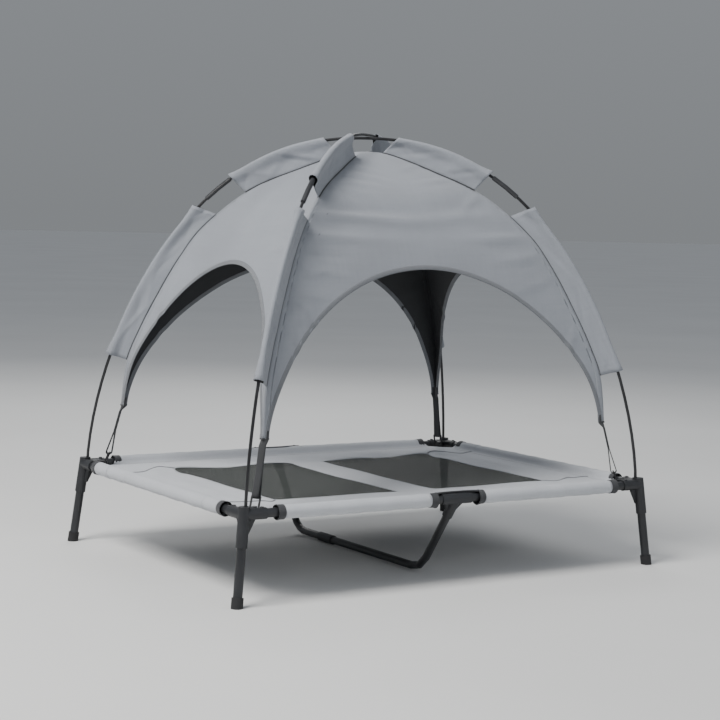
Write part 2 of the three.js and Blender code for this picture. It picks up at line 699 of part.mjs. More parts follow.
const CORNERS = [
  ["front_left", -1, -1],
  ["front_right", 1, -1],
  ["back_left", -1, 1],
  ["back_right", 1, 1],
];
for (const [place, signX, signY] of CORNERS) {
  const rise = POLE_RISE + signX * signY * CROSSING_OFFSET;
  const slide = -signX * (signX === signY ? OVER_SLIDE : UNDER_SLIDE);
  const upperSleeve = poleSleeve(slid(UPPER_SLEEVE, slide), rise);
  const lowerSleeve = poleSleeve(slid(LOWER_SLEEVE, slide * LOWER_SLEEVE_SLIDE_SHARE, true), rise);
  const quarter = new THREE.Group();
  quarter.scale.set(signX, signY, 1);
  quarter.add(part(`corner_connector_${place}`, cornerConnector(), connectorPlastic));
  const leg = tube(legAt(FOOT_FLOOR + FIT_GAP), legAt(LEG_BORE_TOP - FIT_GAP));
  quarter.add(part(`corner_leg_${place}`, leg, steelPaint));
  quarter.add(part(`foot_cap_${place}`, footCap(), footRubber));
  quarter.add(part(`lower_pole_${place}`, lowerPole(rise, slide), fibreglass));
  quarter.add(part(`ferrule_${place}`, ferrule(rise, slide), ferruleSteel));
  quarter.add(part(`upper_sleeve_${place}`, upperSleeve, canopyFabric));
  quarter.add(part(`lower_sleeve_${place}`, lowerSleeve, canopyFabric));
  quarter.add(part(`elastic_band_${place}`, elasticBand(), elastic));
  quarter.add(part(`canopy_ring_${place}`, canopyRing(), hookPlastic));
  dogBed.add(quarter);
}

const railEnd = HALF_LENGTH - RAIL_INSET;
for (const [side, sign] of [["front", -1], ["back", 1]]) {
  const y = sign * HALF_WIDTH;
  const leftHalf = tube(point(-railEnd, y, RAIL_HEIGHT), point(-1, y, RAIL_HEIGHT));
  const rightHalf = tube(point(1, y, RAIL_HEIGHT), point(railEnd, y, RAIL_HEIGHT));
  dogBed.add(part(`${side}_rail_left`, leftHalf, steelPaint));
  dogBed.add(part(`${side}_rail_right`, rightHalf, steelPaint));
  const half = new THREE.Group();
  half.scale.set(1, sign, 1);
  half.add(part(`middle_tee_${side}`, middleTee(), connectorPlastic));
  half.add(part(`middle_leg_${side}`, middleLeg(sign * JOINER_OFFSET + FIT_GAP), steelPaint));
  dogBed.add(half);
}

const sideRailEnd = HALF_WIDTH - RAIL_INSET;
for (const [side, sign] of [["left", -1], ["right", 1]]) {
  const x = sign * HALF_LENGTH;
  const geometry = tube(point(x, -sideRailEnd, RAIL_HEIGHT), point(x, sideRailEnd, RAIL_HEIGHT));
  dogBed.add(part(`${side}_rail`, geometry, steelPaint));
  dogBed.add(part(`mesh_window_${side}`, windowSlab(sign, FIT_GAP, MESH_THICKNESS), meshFabric));
}

function legJoiner() {
  const from = point(0, JOINER_OFFSET - JOINER_HALF_LENGTH, U_GROUND);
  const to = point(0, JOINER_OFFSET + JOINER_HALF_LENGTH, U_GROUND);
  const boreEnds = [from.clone().setY(from.y - OVERCUT), to.clone().setY(to.y + OVERCUT)];
  const bore = solidRod(...boreEnds, U_TUBE_RADIUS + BORE_GAP, BORE_SIDES);
  return toGeometry(solidRod(from, to, JOINER_RADIUS).subtract(bore));
}

dogBed.add(part("leg_joiner", legJoiner(), connectorPlastic));
dogBed.add(part("bed_cover", bedCover(), coverFabric));
dogBed.add(part("canopy_dome", canopyDome(), canopyFabric));
const overPole = upperPole(POLE_RISE + CROSSING_OFFSET, 1, OVER_SLIDE);
const underPole = upperPole(POLE_RISE - CROSSING_OFFSET, -1, UNDER_SLIDE);
dogBed.add(part("upper_pole_over", overPole, fibreglass));
dogBed.add(part("upper_pole_under", underPole, fibreglass));

export default dogBed;
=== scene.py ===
"""Raised dog bed with a sun canopy: finished cloth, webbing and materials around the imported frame.

Units are metres in the frame's own axes: +X along the length, -Y to the front, +Z up.
"""
import math
from itertools import product

import bmesh
import bpy
import numpy as np
from mathutils import Matrix, Vector, geometry


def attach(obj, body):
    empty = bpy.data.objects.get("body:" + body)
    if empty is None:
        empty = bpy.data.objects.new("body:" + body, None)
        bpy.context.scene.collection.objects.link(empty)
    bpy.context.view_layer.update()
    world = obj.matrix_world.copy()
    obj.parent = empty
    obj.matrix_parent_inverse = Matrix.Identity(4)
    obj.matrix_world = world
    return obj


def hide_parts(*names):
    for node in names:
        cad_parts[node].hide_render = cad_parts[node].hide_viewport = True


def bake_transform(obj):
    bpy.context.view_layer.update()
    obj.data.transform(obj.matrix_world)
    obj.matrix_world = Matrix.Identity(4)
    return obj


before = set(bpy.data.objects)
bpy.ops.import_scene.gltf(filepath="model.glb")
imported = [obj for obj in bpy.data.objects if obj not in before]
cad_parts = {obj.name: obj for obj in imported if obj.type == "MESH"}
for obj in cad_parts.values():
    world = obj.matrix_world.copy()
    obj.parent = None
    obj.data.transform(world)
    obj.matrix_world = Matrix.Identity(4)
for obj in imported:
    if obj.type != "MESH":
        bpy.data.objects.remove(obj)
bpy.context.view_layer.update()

# ---------------------------------------------------------------- dimensions shared with the frame
HALF_LENGTH = 0.59
HALF_WIDTH = 0.44
RAIL_HEIGHT = 0.21
CORNER_REACH = math.hypot(HALF_LENGTH, HALF_WIDTH)
COS = HALF_LENGTH / CORNER_REACH
SIN = HALF_WIDTH / CORNER_REACH

POLE_REACH = CORNER_REACH - 0.008
POLE_FOOT = 0.205
POLE_RISE = 0.892
CROSSING_OFFSET = 0.0043
POLE_WIDTH_POWER = 2.26
POLE_HEIGHT_POWER = 1.63

# The seam line under each pole, as distance from the centre and height.
RIDGE = (
    (0, 1.058), (0.060, 1.051), (0.176, 1.009), (0.308, 0.950), (0.425, 0.855), (0.491, 0.766),
    (0.548, 0.665), (0.595, 0.570), (0.627, 0.485), (0.640, 0.370),
)
TONGUE_TIP = 0.370
ARCH_TOP = 0.765
LONG_ARCH_REACH = 0.496
SHORT_ARCH_REACH = 0.368
ARCH_HEIGHT_POWER = 1.6
CANOPY_THICKNESS = 0.0012

CORNERS = {
    "front_left": (-1, -1),
    "front_right": (1, -1),
    "back_left": (-1, 1),
    "back_right": (1, 1),
}
CLOTH_UV = "cloth"


# ---------------------------------------------------------------- small helpers
def smooth(x, low=0.0, high=1.0):
    """0 below low, 1 above high, and an easy curve between them."""
    t = np.clip((np.asarray(x, dtype=float) - low) / (high - low), 0, 1)
    return t * t * (3 - 2 * t)


def hermite(t, start, end, slope_start=0.0, slope_end=0.0):
    """A smooth step from start to end as t goes from 0 to 1, with the given slopes."""
    return (
        (2 * t**3 - 3 * t**2 + 1) * start
        + (t**3 - 2 * t**2 + t) * slope_start
        + (3 * t**2 - 2 * t**3) * end
        + (t**3 - t**2) * slope_end
    )


def unit(vectors):
    """Each vector brought to length 1."""
    return vectors / np.linalg.norm(vectors, axis=-1, keepdims=True)


def turned(faces, turn=True):
    """The faces turned over if turn is set."""
    return [face[::-1] for face in faces] if turn else faces


def grid_faces(rows, columns, start=0, wrap=False):
    """Quads over rows x columns points, closed round the columns when wrap is set."""
    faces = []
    for i in range(rows - 1):
        for j in range(columns if wrap else columns - 1):
            a = start + i * columns + j
            b = start + i * columns + (j + 1) % columns
            faces.append((a, b, b + columns, a + columns))
    return faces


def new_piece(name, points, faces, materials, uv=None, weld=False):
    """A smooth mesh object. uv holds one flat cloth position, in metres, for each point."""
    mesh = bpy.data.meshes.new(name)
    mesh.from_pydata([tuple(map(float, p)) for p in points], [], faces)
    if uv is not None:
        corners = np.empty(len(mesh.loops), dtype=np.int32)
        mesh.loops.foreach_get("vertex_index", corners)
        layer = mesh.uv_layers.new(name=CLOTH_UV)
        layer.data.foreach_set("uv", np.asarray(uv, dtype=np.float32)[corners].ravel())
    for material in materials:
        mesh.materials.append(material)
    if weld:
        work = bmesh.new()
        work.from_mesh(mesh)
        bmesh.ops.remove_doubles(work, verts=work.verts, dist=2e-5)
        bmesh.ops.dissolve_degenerate(work, edges=work.edges, dist=1e-6)
        work.to_mesh(mesh)
        work.free()
    mesh.shade_smooth()
    piece = bpy.data.objects.new(name, mesh)
    bpy.context.collection.objects.link(piece)
    return piece


class Patches:
    """Grids of points gathered for one mesh."""

    def __init__(self):
        self.points, self.uv, self.faces = [], [], []

    def add(self, points, uv, turn=False):
        """One patch: rows of points, and the flat cloth position of each."""
        points = np.asarray(points, dtype=float)
        self.faces += turned(grid_faces(*points.shape[:2], len(self.points)), turn)
        self.points.extend(points.reshape(-1, 3))
        self.uv.extend(np.asarray(uv, dtype=float).reshape(-1, 2))

    def piece(self, name, *materials, weld=False):
        return new_piece(name, self.points, self.faces, materials, self.uv, weld)


def thicken(piece, thickness):
    """Gives a sheet its thickness on the side away from its normals, with its second material there."""
    solid = piece.modifiers.new("thickness", "SOLIDIFY")
    solid.thickness = thickness
    solid.offset = -1
    solid.material_offset = 1
    solid.material_offset_rim = 0


def lengths(points):
    """Distance run along a line of points, from 0 at its first."""
    steps = np.linalg.norm(np.diff(np.asarray(points), axis=0), axis=1)
    return np.concatenate([[0], np.cumsum(steps)])


def resample(points, spacing):
    """Points evenly spaced along a line, at about the given spacing."""
    points = np.asarray(points, dtype=float)
    run = lengths(points)
    count = max(2, int(round(run[-1] / spacing)) + 1)
    places = np.linspace(0, run[-1], count)
    return np.stack([np.interp(places, run, points[:, k]) for k in range(points.shape[1])], axis=1)


def catmull_rom(points, per_span):
    """A smooth curve through the points."""
    points = np.asarray(points, dtype=float)
    last = len(points) - 1
    curve = []
    for i in range(last):
        a, b, c, d = (points[max(i - 1, 0)], points[i], points[i + 1], points[min(i + 2, last)])
        for t in np.arange(per_span) / per_span:
            slope_b, slope_c = (c - a) / 2, (d - b) / 2
            curve.append(hermite(t, b, c, slope_b, slope_c))
    return np.array(curve + [points[last]])


def folds_relief(u, v, folds):
    """Sum of soft folds on flat coordinates. A fold is centre u and v, direction in degrees, length,
    breadth and height, with a gentler hollow on each side of its crest."""
    total = np.zeros_like(u)
    for centre_u, centre_v, turn, length, breadth, height in folds:
        angle = math.radians(turn)
        along = (u - centre_u) * math.cos(angle) + (v - centre_v) * math.sin(angle)
        across = (v - centre_v) * math.cos(angle) - (u - centre_u) * math.sin(angle)
        crest = (1 - (across / breadth) ** 2) * np.exp(-0.5 * (across / breadth) ** 2)
        total = total + height * crest * np.exp(-0.5 * (along / length) ** 2)
    return total


# ---------------------------------------------------------------- camera, light and floor
CAMERA_PLACE = (-2.537, -3.924, 0.890)
CAMERA_TURNS = (32.83, 4.62, 1.6)
CAMERA_LENS, CAMERA_SENSOR = 89.0, 36.0
LIGHT_TARGET = (0, 0, 0.5)
# Each softbox: name, place, size, power and colour.
SOFTBOXES = (
    ("key", (-2.9, -0.8, 4.2), (2.0, 2.0), 290, (1.0, 0.985, 0.96)),
    ("fill", (1.6, -4.4, 2.0), (3.0, 2.2), 30, (0.93, 0.96, 1.0)),
    ("back", (1.8, 3.6, 3.2), (3.0, 2.0), 60, (1.0, 0.99, 0.97)),
)
SKY_LOW, SKY_HIGH = (0.226, 0.238, 0.250, 1), (0.330, 0.350, 0.380, 1)
FLOOR_HALF = 60.0


def make_camera():
    yaw, pitch, roll = (math.radians(a) for a in CAMERA_TURNS)
    forward = Vector((math.sin(yaw) * math.cos(pitch), math.cos(yaw) * math.cos(pitch), -math.sin(pitch)))
    level = Vector((math.cos(yaw), -math.sin(yaw), 0))
    upright = level.cross(forward)
    right = level * math.cos(roll) + upright * math.sin(roll)
    up = upright * math.cos(roll) - level * math.sin(roll)
    data = bpy.data.cameras.new("camera")
    data.lens, data.sensor_width = CAMERA_LENS, CAMERA_SENSOR
    camera = bpy.data.objects.new("camera", data)
    axes = Matrix((right, up, -forward)).transposed()
    camera.matrix_world = Matrix.Translation(CAMERA_PLACE) @ axes.to_4x4()
    bpy.context.collection.objects.link(camera)
    bpy.context.scene.camera = camera


def make_softbox(name, place, size, power, colour):
    data = bpy.data.lights.new(name, "AREA")
    data.shape = "RECTANGLE"
    data.size, data.size_y = size
    data.energy = power
    data.color = colour
    light = bpy.data.objects.new(name, data)
    light.location = place
    light.rotation_euler = (Vector(LIGHT_TARGET) - Vector(place)).to_track_quat("-Z", "Y").to_euler()
    bpy.context.collection.objects.link(light)


def make_sky():
    """Soft light from all round, dimmer near the horizon, where it matches the far floor."""
    world = bpy.data.worlds.new("studio")
    world.use_nodes = True
    nodes, links = world.node_tree.nodes, world.node_tree.links
    where, split, ramp = (nodes.new("ShaderNode" + kind) for kind in ("TexCoord", "SeparateXYZ", "ValToRGB"))
    links.new(where.outputs["Generated"], split.inputs[0])
    links.new(split.outputs["Z"], ramp.inputs[0])
    low, high = ramp.color_ramp.elements
    low.position, low.color = 0.0, SKY_LOW
    high.position, high.color = 0.5, SKY_HIGH
    links.new(ramp.outputs["Color"], nodes["Background"].inputs["Color"])
    bpy.context.scene.world = world


def make_studio():
    for softbox in SOFTBOXES:
        make_softbox(*softbox)
    make_sky()
    corners = [(x * FLOOR_HALF, y * FLOOR_HALF, 0) for x, y in ((-1, -1), (1, -1), (1, 1), (-1, 1))]
    floor = new_piece("floor", corners, [(0, 1, 2, 3)], [floor_material()])


# ---------------------------------------------------------------- materials
class Shader:
    """A Principled material and short calls to add and join its nodes."""

    def __init__(self, name):
        self.material = bpy.data.materials.new(name)
        self.material.use_nodes = True
        self.tree = self.material.node_tree
        self.surface = self.tree.nodes["Principled BSDF"]

    def node(self, kind, **settings):
        made = self.tree.nodes.new("ShaderNode" + kind)
        for key, value in settings.items():
            setattr(made, key, value)
        return made

    def join(self, source, target, socket):
        out = source if isinstance(source, bpy.types.NodeSocket) else source.outputs[0]
        self.tree.links.new(out, target.inputs[socket])

    def set(self, **values):
        for key, value in values.items():
            self.surface.inputs[key.replace("_", " ").title().replace("Ior", "IOR")].default_value = value

    def coordinates(self, source):
        return self.node("TexCoord").outputs[source]

    def math(self, operation, first, second=None):
        made = self.node("Math", operation=operation)
        for index, value in enumerate((first, second)):
            if isinstance(value, (int, float)):
                made.inputs[index].default_value = value
            elif value is not None:
                self.join(value, made, index)
        return made.outputs[0]

    def weigh(self, first, share, second, other):
        """The sum of two values, each times the share after it."""
        return self.math("ADD", self.math("MULTIPLY", first, share), self.math("MULTIPLY", second, other))

    def streaks(self, vector, scale, detail, roughness=0.55):
        """Noise drawn out along the axes with a low scale."""
        made = self.node("Mapping")
        self.join(vector, made, "Vector")
        made.inputs["Scale"].default_value = scale
        return self.noise(made.outputs[0], 1.0, detail, roughness)

    def noise(self, vector, scale, detail=3.0, roughness=0.55):
        made = self.node("TexNoise")
        self.join(vector, made, "Vector")
        made.inputs["Scale"].default_value = scale
        made.inputs["Detail"].default_value = detail
        made.inputs["Roughness"].default_value = roughness
        return made.outputs["Fac"]

    def bands(self, vector, pitch, direction):
        """A wave from 0 to 1 that repeats every pitch metres along X, Y or Z."""
        made = self.node("TexWave", bands_direction=direction)
        self.join(vector, made, "Vector")
        made.inputs["Scale"].default_value = math.tau / 20 / pitch
        return made.outputs["Fac"]

    def ramp(self, value, *stops):
        """Maps a value to colours: each stop is a position and an RGB colour or a grey level."""
        made = self.node("ValToRGB")
        self.join(value, made, "Fac")
        elements = made.color_ramp.elements
        while len(elements) < len(stops):
            elements.new(0.5)
        for element, (position, colour) in zip(elements, stops):
            rgb = (colour,) * 3 if isinstance(colour, (int, float)) else colour
            element.position = position
            element.color = (*rgb, 1)
        return made.outputs["Color"]

    def mix(self, factor, first, second, blend="MIX"):
        made = self.node("Mix", data_type="RGBA", blend_type=blend)
        for value, socket in ((factor, "Factor"), (first, "A"), (second, "B")):
            slots = [s for s in made.inputs if s.name == socket and s.enabled]
            if isinstance(value, bpy.types.NodeSocket):
                self.tree.links.new(value, slots[0])
            elif isinstance(value, (int, float)):
                slots[0].default_value = value
            else:
                slots[0].default_value = (*value, 1)
        return [s for s in made.outputs if s.enabled][0]

    def bump(self, height, distance, strength=1.0, under=None):
        made = self.node("Bump")
        self.join(height, made, "Height")
        made.inputs["Distance"].default_value = distance
        made.inputs["Strength"].default_value = strength
        if under is not None:
            self.join(under, made, "Normal")
        return made.outputs["Normal"]

    def finish(self, colour, roughness, normal):
        self.join(colour, self.surface, "Base Color")
        self.join(roughness, self.surface, "Roughness")
        self.join(normal, self.surface, "Normal")
        return self.material


def floor_material():
    shader = Shader("studio_floor")
    where = shader.coordinates("Object")
    tone = shader.ramp(shader.noise(where, 0.8), (0.3, (0.70, 0.70, 0.69)), (0.7, (0.74, 0.74, 0.73)))
    grain = shader.noise(where, 60)
    rough = shader.ramp(grain, (0.0, 0.80), (1.0, 0.95))
    return shader.finish(tone, rough, shader.bump(grain, 0.0004))


def plain_weave(shader, where, pitch):
    """Height of a plain weave: warp and weft threads that take turns on top."""
    warp, weft = (shader.bands(where, pitch, axis) for axis in "XY")
    turns = shader.node("TexChecker")
    shader.join(where, turns, "Vector")
    turns.inputs["Scale"].default_value = 1 / pitch
    turns.inputs["Color1"].default_value = (1, 1, 1, 1)
    turns.inputs["Color2"].default_value = (0, 0, 0, 1)
    return shader.mix(turns.outputs["Fac"], warp, weft)


def woven(name, shade, light, pitch, rough=(0.62, 0.85), sheen=0.25, cloud=0.10, relief=0.00018):
    """Woven cloth: threads, slubs along both thread directions, faint clouding and dust."""
    shader = Shader(name)
    where = shader.coordinates("UV")
    body = shader.coordinates("Object")
    weave = plain_weave(shader, where, pitch)
    slubs, cross_slubs = (shader.streaks(where, scale, 2) for scale in ((6, 260, 1), (260, 6, 1)))
    threads = shader.weigh(slubs, 0.5, cross_slubs, 0.5)
    clouds = shader.noise(body, 5.0, 4)
    tone = shader.weigh(threads, 0.55, weave, 0.45)
    base = shader.ramp(tone, (0.22, shade), (0.72, light))
    cloudy = shader.ramp(clouds, (0.35, 1 - cloud), (0.65, 1.0))
    colour = shader.mix(1.0, base, cloudy, "MULTIPLY")
    roughness = shader.ramp(clouds, (0.3, rough[0]), (0.7, rough[1]))
    creases = shader.noise(body, 38, 5, 0.6)
    normal = shader.bump(weave, relief, 0.9, shader.bump(creases, 0.0012, 0.35))
    shader.set(sheen_weight=sheen, sheen_roughness=0.5)
    return shader.finish(colour, roughness, normal)


def webbing(name, shade, light, pitch, sheen=0.15):
    """Woven tape with ribs along it and a picked thread across."""
    shader = Shader(name)
    where = shader.coordinates("UV")
    ribs = shader.bands(where, pitch, "X")
    picks = shader.bands(where, pitch * 0.7, "Y")
    height = shader.weigh(ribs, 0.7, picks, 0.3)
    dust = shader.noise(shader.coordinates("Object"), 30, 4)
    worn = shader.weigh(height, 0.6, dust, 0.5)
    colour = shader.ramp(worn, (0.2, shade), (0.8, light))
    rough = shader.ramp(dust, (0.3, 0.65), (0.7, 0.9))
    shader.set(sheen_weight=sheen)
    return shader.finish(colour, rough, shader.bump(height, 0.0004, 0.9))


NET_PITCH = 0.0017


def window_mesh(name):
    """Open textile net: dark coated strands with small square holes between them."""
    shader = Shader(name)
    where = shader.coordinates("UV")
    strands = shader.math("MAXIMUM", *(shader.bands(where, NET_PITCH, axis) for axis in "XY"))
    dust = shader.noise(shader.coordinates("Object"), 9, 4)
    tone = shader.weigh(strands, 0.5, dust, 0.5)
    colour = shader.ramp(tone, (0.25, (0.013, 0.016, 0.0145)), (0.85, (0.036, 0.042, 0.039)))
    cover = shader.ramp(strands, (0.06, 0.0), (0.12, 1.0))
    shader.join(cover, shader.surface, "Alpha")
    rough = shader.ramp(dust, (0.3, 0.75), (0.7, 0.9))
    shader.set(specular_ior_level=0.25)
    return shader.finish(colour, rough, shader.bump(strands, 0.0005, 0.8))


def painted_steel(name):
    """Powder coat: fine orange peel, faint clouding, and dulled scuffs that are thicker near the ground."""
    shader = Shader(name)
    where = shader.coordinates("Object")
    peel = shader.noise(where, 900, 2)
    clouds = shader.noise(where, 14, 4)
    scuffs = shader.streaks(where, (180, 180, 30), 5, 0.7)
    height = shader.node("SeparateXYZ")
    shader.join(where, height, "Vector")
    low = shader.math("SUBTRACT", 0.72, shader.math("MULTIPLY", height.outputs["Z"], -0.35))
    worn = shader.math("GREATER_THAN", scuffs, low)
    paint = shader.ramp(clouds, (0.3, (0.015, 0.016, 0.0185)), (0.7, (0.024, 0.0255, 0.029)))
    colour = shader.mix(shader.math("MULTIPLY", worn, 0.5), paint, (0.11, 0.11, 0.115))
    rough = shader.ramp(clouds, (0.3, 0.36), (0.7, 0.5))
    shader.set(metallic=0.15, coat_weight=0.15, coat_roughness=0.35)
    return shader.finish(colour, rough, shader.bump(peel, 0.00012, 0.5))


def moulded(name, shade, light, rough=(0.42, 0.6), grain=1400.0, edge=0.0012):
    """Moulded plastic or rubber: fine spark grain, flow marks, and edges rounded by a bevel in the shading
    normal.
    """
    shader = Shader(name)
    where = shader.coordinates("Object")
    spark = shader.noise(where, grain, 2)
    flow = shader.noise(where, 22, 4)
    colour = shader.ramp(flow, (0.3, shade), (0.7, light))
    rounded = shader.node("Bevel", samples=4)
    rounded.inputs["Radius"].default_value = edge
    normal = shader.bump(spark, 0.00012, 0.5, rounded.outputs["Normal"])
    roughness = shader.ramp(flow, (0.3, rough[0]), (0.7, rough[1]))
    return shader.finish(colour, roughness, normal)


def thread(name, shade, light):
    """Twisted sewing thread."""
    shader = Shader(name)
    where = shader.coordinates("Object")
    twist = shader.noise(where, 1500, 2)
    colour = shader.ramp(twist, (0.3, shade), (0.7, light))
    rough = shader.ramp(twist, (0.3, 0.5), (0.7, 0.8))
    return shader.finish(colour, rough, shader.bump(twist, 0.0002, 0.6))


def make_materials():
    return {
        "canopy": woven("canopy_fabric", (0.240, 0.258, 0.290), (0.322, 0.341, 0.378), 0.0011),
        "lining": woven(
            "canopy_coating", (0.012, 0.013, 0.015), (0.024, 0.026, 0.030),
            0.0011, (0.5, 0.7), 0.05,
        ),
        "hem": woven("canopy_hem", (0.135, 0.143, 0.158), (0.195, 0.205, 0.223), 0.0009),
        "cover": woven(
            "cover_fabric", (0.47, 0.488, 0.520), (0.595, 0.612, 0.645),
            0.0013, (0.7, 0.9), 0.2, 0.09,
        ),
        "cover_back": woven(
            "cover_back", (0.30, 0.31, 0.33), (0.40, 0.41, 0.43),
            0.0013, (0.7, 0.9), 0.1,
        ),
        "binding": webbing("cover_binding", (0.018, 0.019, 0.022), (0.050, 0.052, 0.057), 0.0022),
        "elastic": webbing("elastic_webbing", (0.014, 0.015, 0.017), (0.044, 0.046, 0.050), 0.0016),
        "net": window_mesh("window_net"),
        "steel": painted_steel("steel_paint"),
        "connector": moulded("connector_plastic", (0.014, 0.015, 0.0175), (0.023, 0.0245, 0.028)),
        "rubber": moulded("foot_rubber", (0.014, 0.014, 0.015), (0.026, 0.026, 0.028), (0.7, 0.9), 500.0),
        "fibre": moulded(
            "fibreglass", (0.012, 0.012, 0.013), (0.022, 0.022, 0.024),
            (0.25, 0.4), 900.0, 0.0004,
        ),
        "ferrule": moulded(
            "ferrule_metal", (0.020, 0.021, 0.023), (0.035, 0.036, 0.040),
            (0.3, 0.45), 700.0, 0.0006,
        ),
        "hook": moulded("hook_plastic", (0.012, 0.012, 0.013), (0.024, 0.024, 0.027)),
        "grey_thread": thread("grey_thread", (0.22, 0.232, 0.255), (0.30, 0.315, 0.340)),
        "pale_thread": thread("pale_thread", (0.42, 0.43, 0.45), (0.55, 0.56, 0.58)),
    }


# Each material, and how the names of the CAD nodes that have it begin.
NODE_FINISHES = {
    "connector": ("corner_connector", "middle_tee", "leg_joiner"),
    "steel": ("corner_leg", "middle_leg", "front_rail", "back_rail", "left_rail", "right_rail"),
    "rubber": ("foot_cap",),
    "fibre": ("lower_pole", "upper_pole"),
    "ferrule": ("ferrule",),
    "hook": ("canopy_ring",),
}


SHARP_ANGLE = math.radians(38)


def finish_frame_nodes(materials):
    """Gives each kept CAD node its material, with round faces shaded smooth and real edges sharp."""
    for name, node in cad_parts.items():
        finish = next((f for f, starts in NODE_FINISHES.items() if name.startswith(starts)), None)
        if finish is None:
            continue
        for slot in node.material_slots:
            slot.material = materials[finish]
        node.data.shade_smooth()
        node.data.set_sharp_from_angle(angle=SHARP_ANGLE)


# ---------------------------------------------------------------- canopy shape
ridge_curve = catmull_rom(RIDGE, 24)
RIDGE_REACH, RIDGE_Z = ridge_curve[:, 0], ridge_curve[:, 1]
RIDGE_S = lengths(ridge_curve) / lengths(ridge_curve)[-1]


def ridge_at(s):
    """Reach and height of the ridge, from s = 0 at the apex to 1 at a tongue's tip."""
    return np.interp(s, RIDGE_S, RIDGE_REACH), np.interp(s, RIDGE_S, RIDGE_Z)


def s_of_height(z):
    return np.interp(-np.asarray(z), -RIDGE_Z, RIDGE_S)


def s_of_reach(reach):
    return np.interp(reach, RIDGE_REACH, RIDGE_S)


class Panel:
    """One side of the canopy between two ridges. It bends one way only, so it has flat coordinates:
    across it, and down it along the cloth. Its relief dies out at the ridges."""

    def __init__(self, outward, width, depth, arch_reach, sag, folds):
        self.outward = np.array(outward, dtype=float)
        self.sideways = np.array((-outward[1], outward[0]), dtype=float)
        self.width, self.depth = width, depth
        self.arch_reach = arch_reach
        self.sag, self.folds = sag, folds
        profile = np.stack([RIDGE_REACH * depth, RIDGE_Z], axis=1)
        self.down = lengths(profile)
        slope = unit(np.gradient(profile, RIDGE_S, axis=0))
        self.normal_out, self.normal_up = -slope[:, 1], slope[:, 0]

    def half_width(self, s):
        return self.width * ridge_at(s)[0]

    def down_at(self, s):
        return np.interp(s, RIDGE_S, self.down)

    def s_of_down(self, down):
        return np.interp(down, self.down, RIDGE_S)

    def relief(self, across, s):
        half = np.maximum(self.half_width(s), 1e-6)
        t = np.clip(np.abs(across) / half, 0, 1)
        edge = 1 - t**5
        hollow = -self.sag * edge * smooth(s, 0.05, 0.5)
        down = self.down_at(s)
        wander = np.sin(across * 17 + down * 9 + self.width * 40)
        soft = CANOPY_SOFTNESS * wander * np.sin(down * 23 + across * 5)
        creases = folds_relief(np.asarray(across, dtype=float), down, self.folds)
        return hollow + (soft + FOLD_GAIN * creases) * edge * smooth(s, 0.03, 0.2)

    def place(self, across, s, lift=0.0):
        """Points on the cloth, raised off it by lift."""
        across, s = np.broadcast_arrays(np.asarray(across, dtype=float), np.asarray(s, dtype=float))
        reach, height = ridge_at(s)
        raised = self.relief(across, s) + lift
        out = reach * self.depth + raised * np.interp(s, RIDGE_S, self.normal_out)
        up = height + raised * np.interp(s, RIDGE_S, self.normal_up)
        flat = out[..., None] * self.outward + across[..., None] * self.sideways
        return np.concatenate([flat, up[..., None]], axis=-1)

    def normal(self, s):
        out = np.interp(s, RIDGE_S, self.normal_out)
        up = np.interp(s, RIDGE_S, self.normal_up)
        return np.concatenate([np.asarray(out)[..., None] * self.outward, np.asarray(up)[..., None]], axis=-1)

    def arch(self, angle):
        """Across and s of the open edge, from angle 0 at one tongue to pi at the other."""
        across = self.arch_reach * np.cos(angle)
        rise = np.abs(np.sin(angle)) ** (2 / ARCH_HEIGHT_POWER)
        return across, s_of_height(TONGUE_TIP + rise * (ARCH_TOP - TONGUE_TIP))

    def arch_line(self, inset, count=180):
        """The open edge moved into the cloth by inset, as across and down."""
        angle = np.linspace(math.pi, 0, count)
        across, s = self.arch(angle)
        line = np.stack([across, self.down_at(s)], axis=1)
        along = unit(np.gradient(line, axis=0))
        return line + np.stack([along[:, 1], -along[:, 0]], axis=1) * inset


FOLD_GAIN = 2.3
CANOPY_SOFTNESS = 0.0011
# Folds are centre across and down, direction in degrees, length, breadth and height.
FRONT_FOLDS = (
    (-0.300, 0.350, 3, 0.085, 0.013, 0.0030), (-0.330, 0.395, 5, 0.070, 0.012, -0.0024),
    (-0.345, 0.440, 8, 0.060, 0.012, 0.0026), (-0.375, 0.500, 14, 0.050, 0.013, 0.0020),
    (0.300, 0.345, -3, 0.080, 0.013, 0.0026), (0.335, 0.400, -7, 0.065, 0.012, 0.0024),
    (0.365, 0.465, -16, 0.055, 0.012, 0.0020), (-0.120, 0.300, 2, 0.120, 0.018, 0.0014),
    (0.140, 0.285, -4, 0.110, 0.018, 0.0014), (-0.215, 0.215, 38, 0.060, 0.012, 0.0018),
    (0.225, 0.215, -38, 0.060, 0.012, 0.0016), (-0.425, 0.600, 62, 0.100, 0.012, 0.0022),
    (0.430, 0.610, -62, 0.090, 0.012, 0.0020), (-0.130, 0.085, 24, 0.050, 0.009, 0.0020),
    (-0.150, 0.130, 16, 0.060, 0.010, 0.0022), (-0.185, 0.170, 8, 0.060, 0.010, 0.0018),
    (0.115, 0.080, -24, 0.050, 0.009, 0.0016), (0.160, 0.150, -12, 0.060, 0.010, 0.0016),
    (-0.240, 0.290, 2, 0.090, 0.012, 0.0026), (-0.395, 0.545, 34, 0.050, 0.010, 0.0022),
)
SIDE_FOLDS = (
    (-0.235, 0.470, 6, 0.050, 0.012, 0.0022), (0.240, 0.455, -8, 0.050, 0.012, 0.0022),
    (0.090, 0.400, -4, 0.080, 0.018, 0.0014), (-0.300, 0.620, 66, 0.080, 0.011, 0.0018),
    (0.300, 0.630, -66, 0.080, 0.011, 0.0018), (-0.130, 0.270, 35, 0.050, 0.012, 0.0014),
)
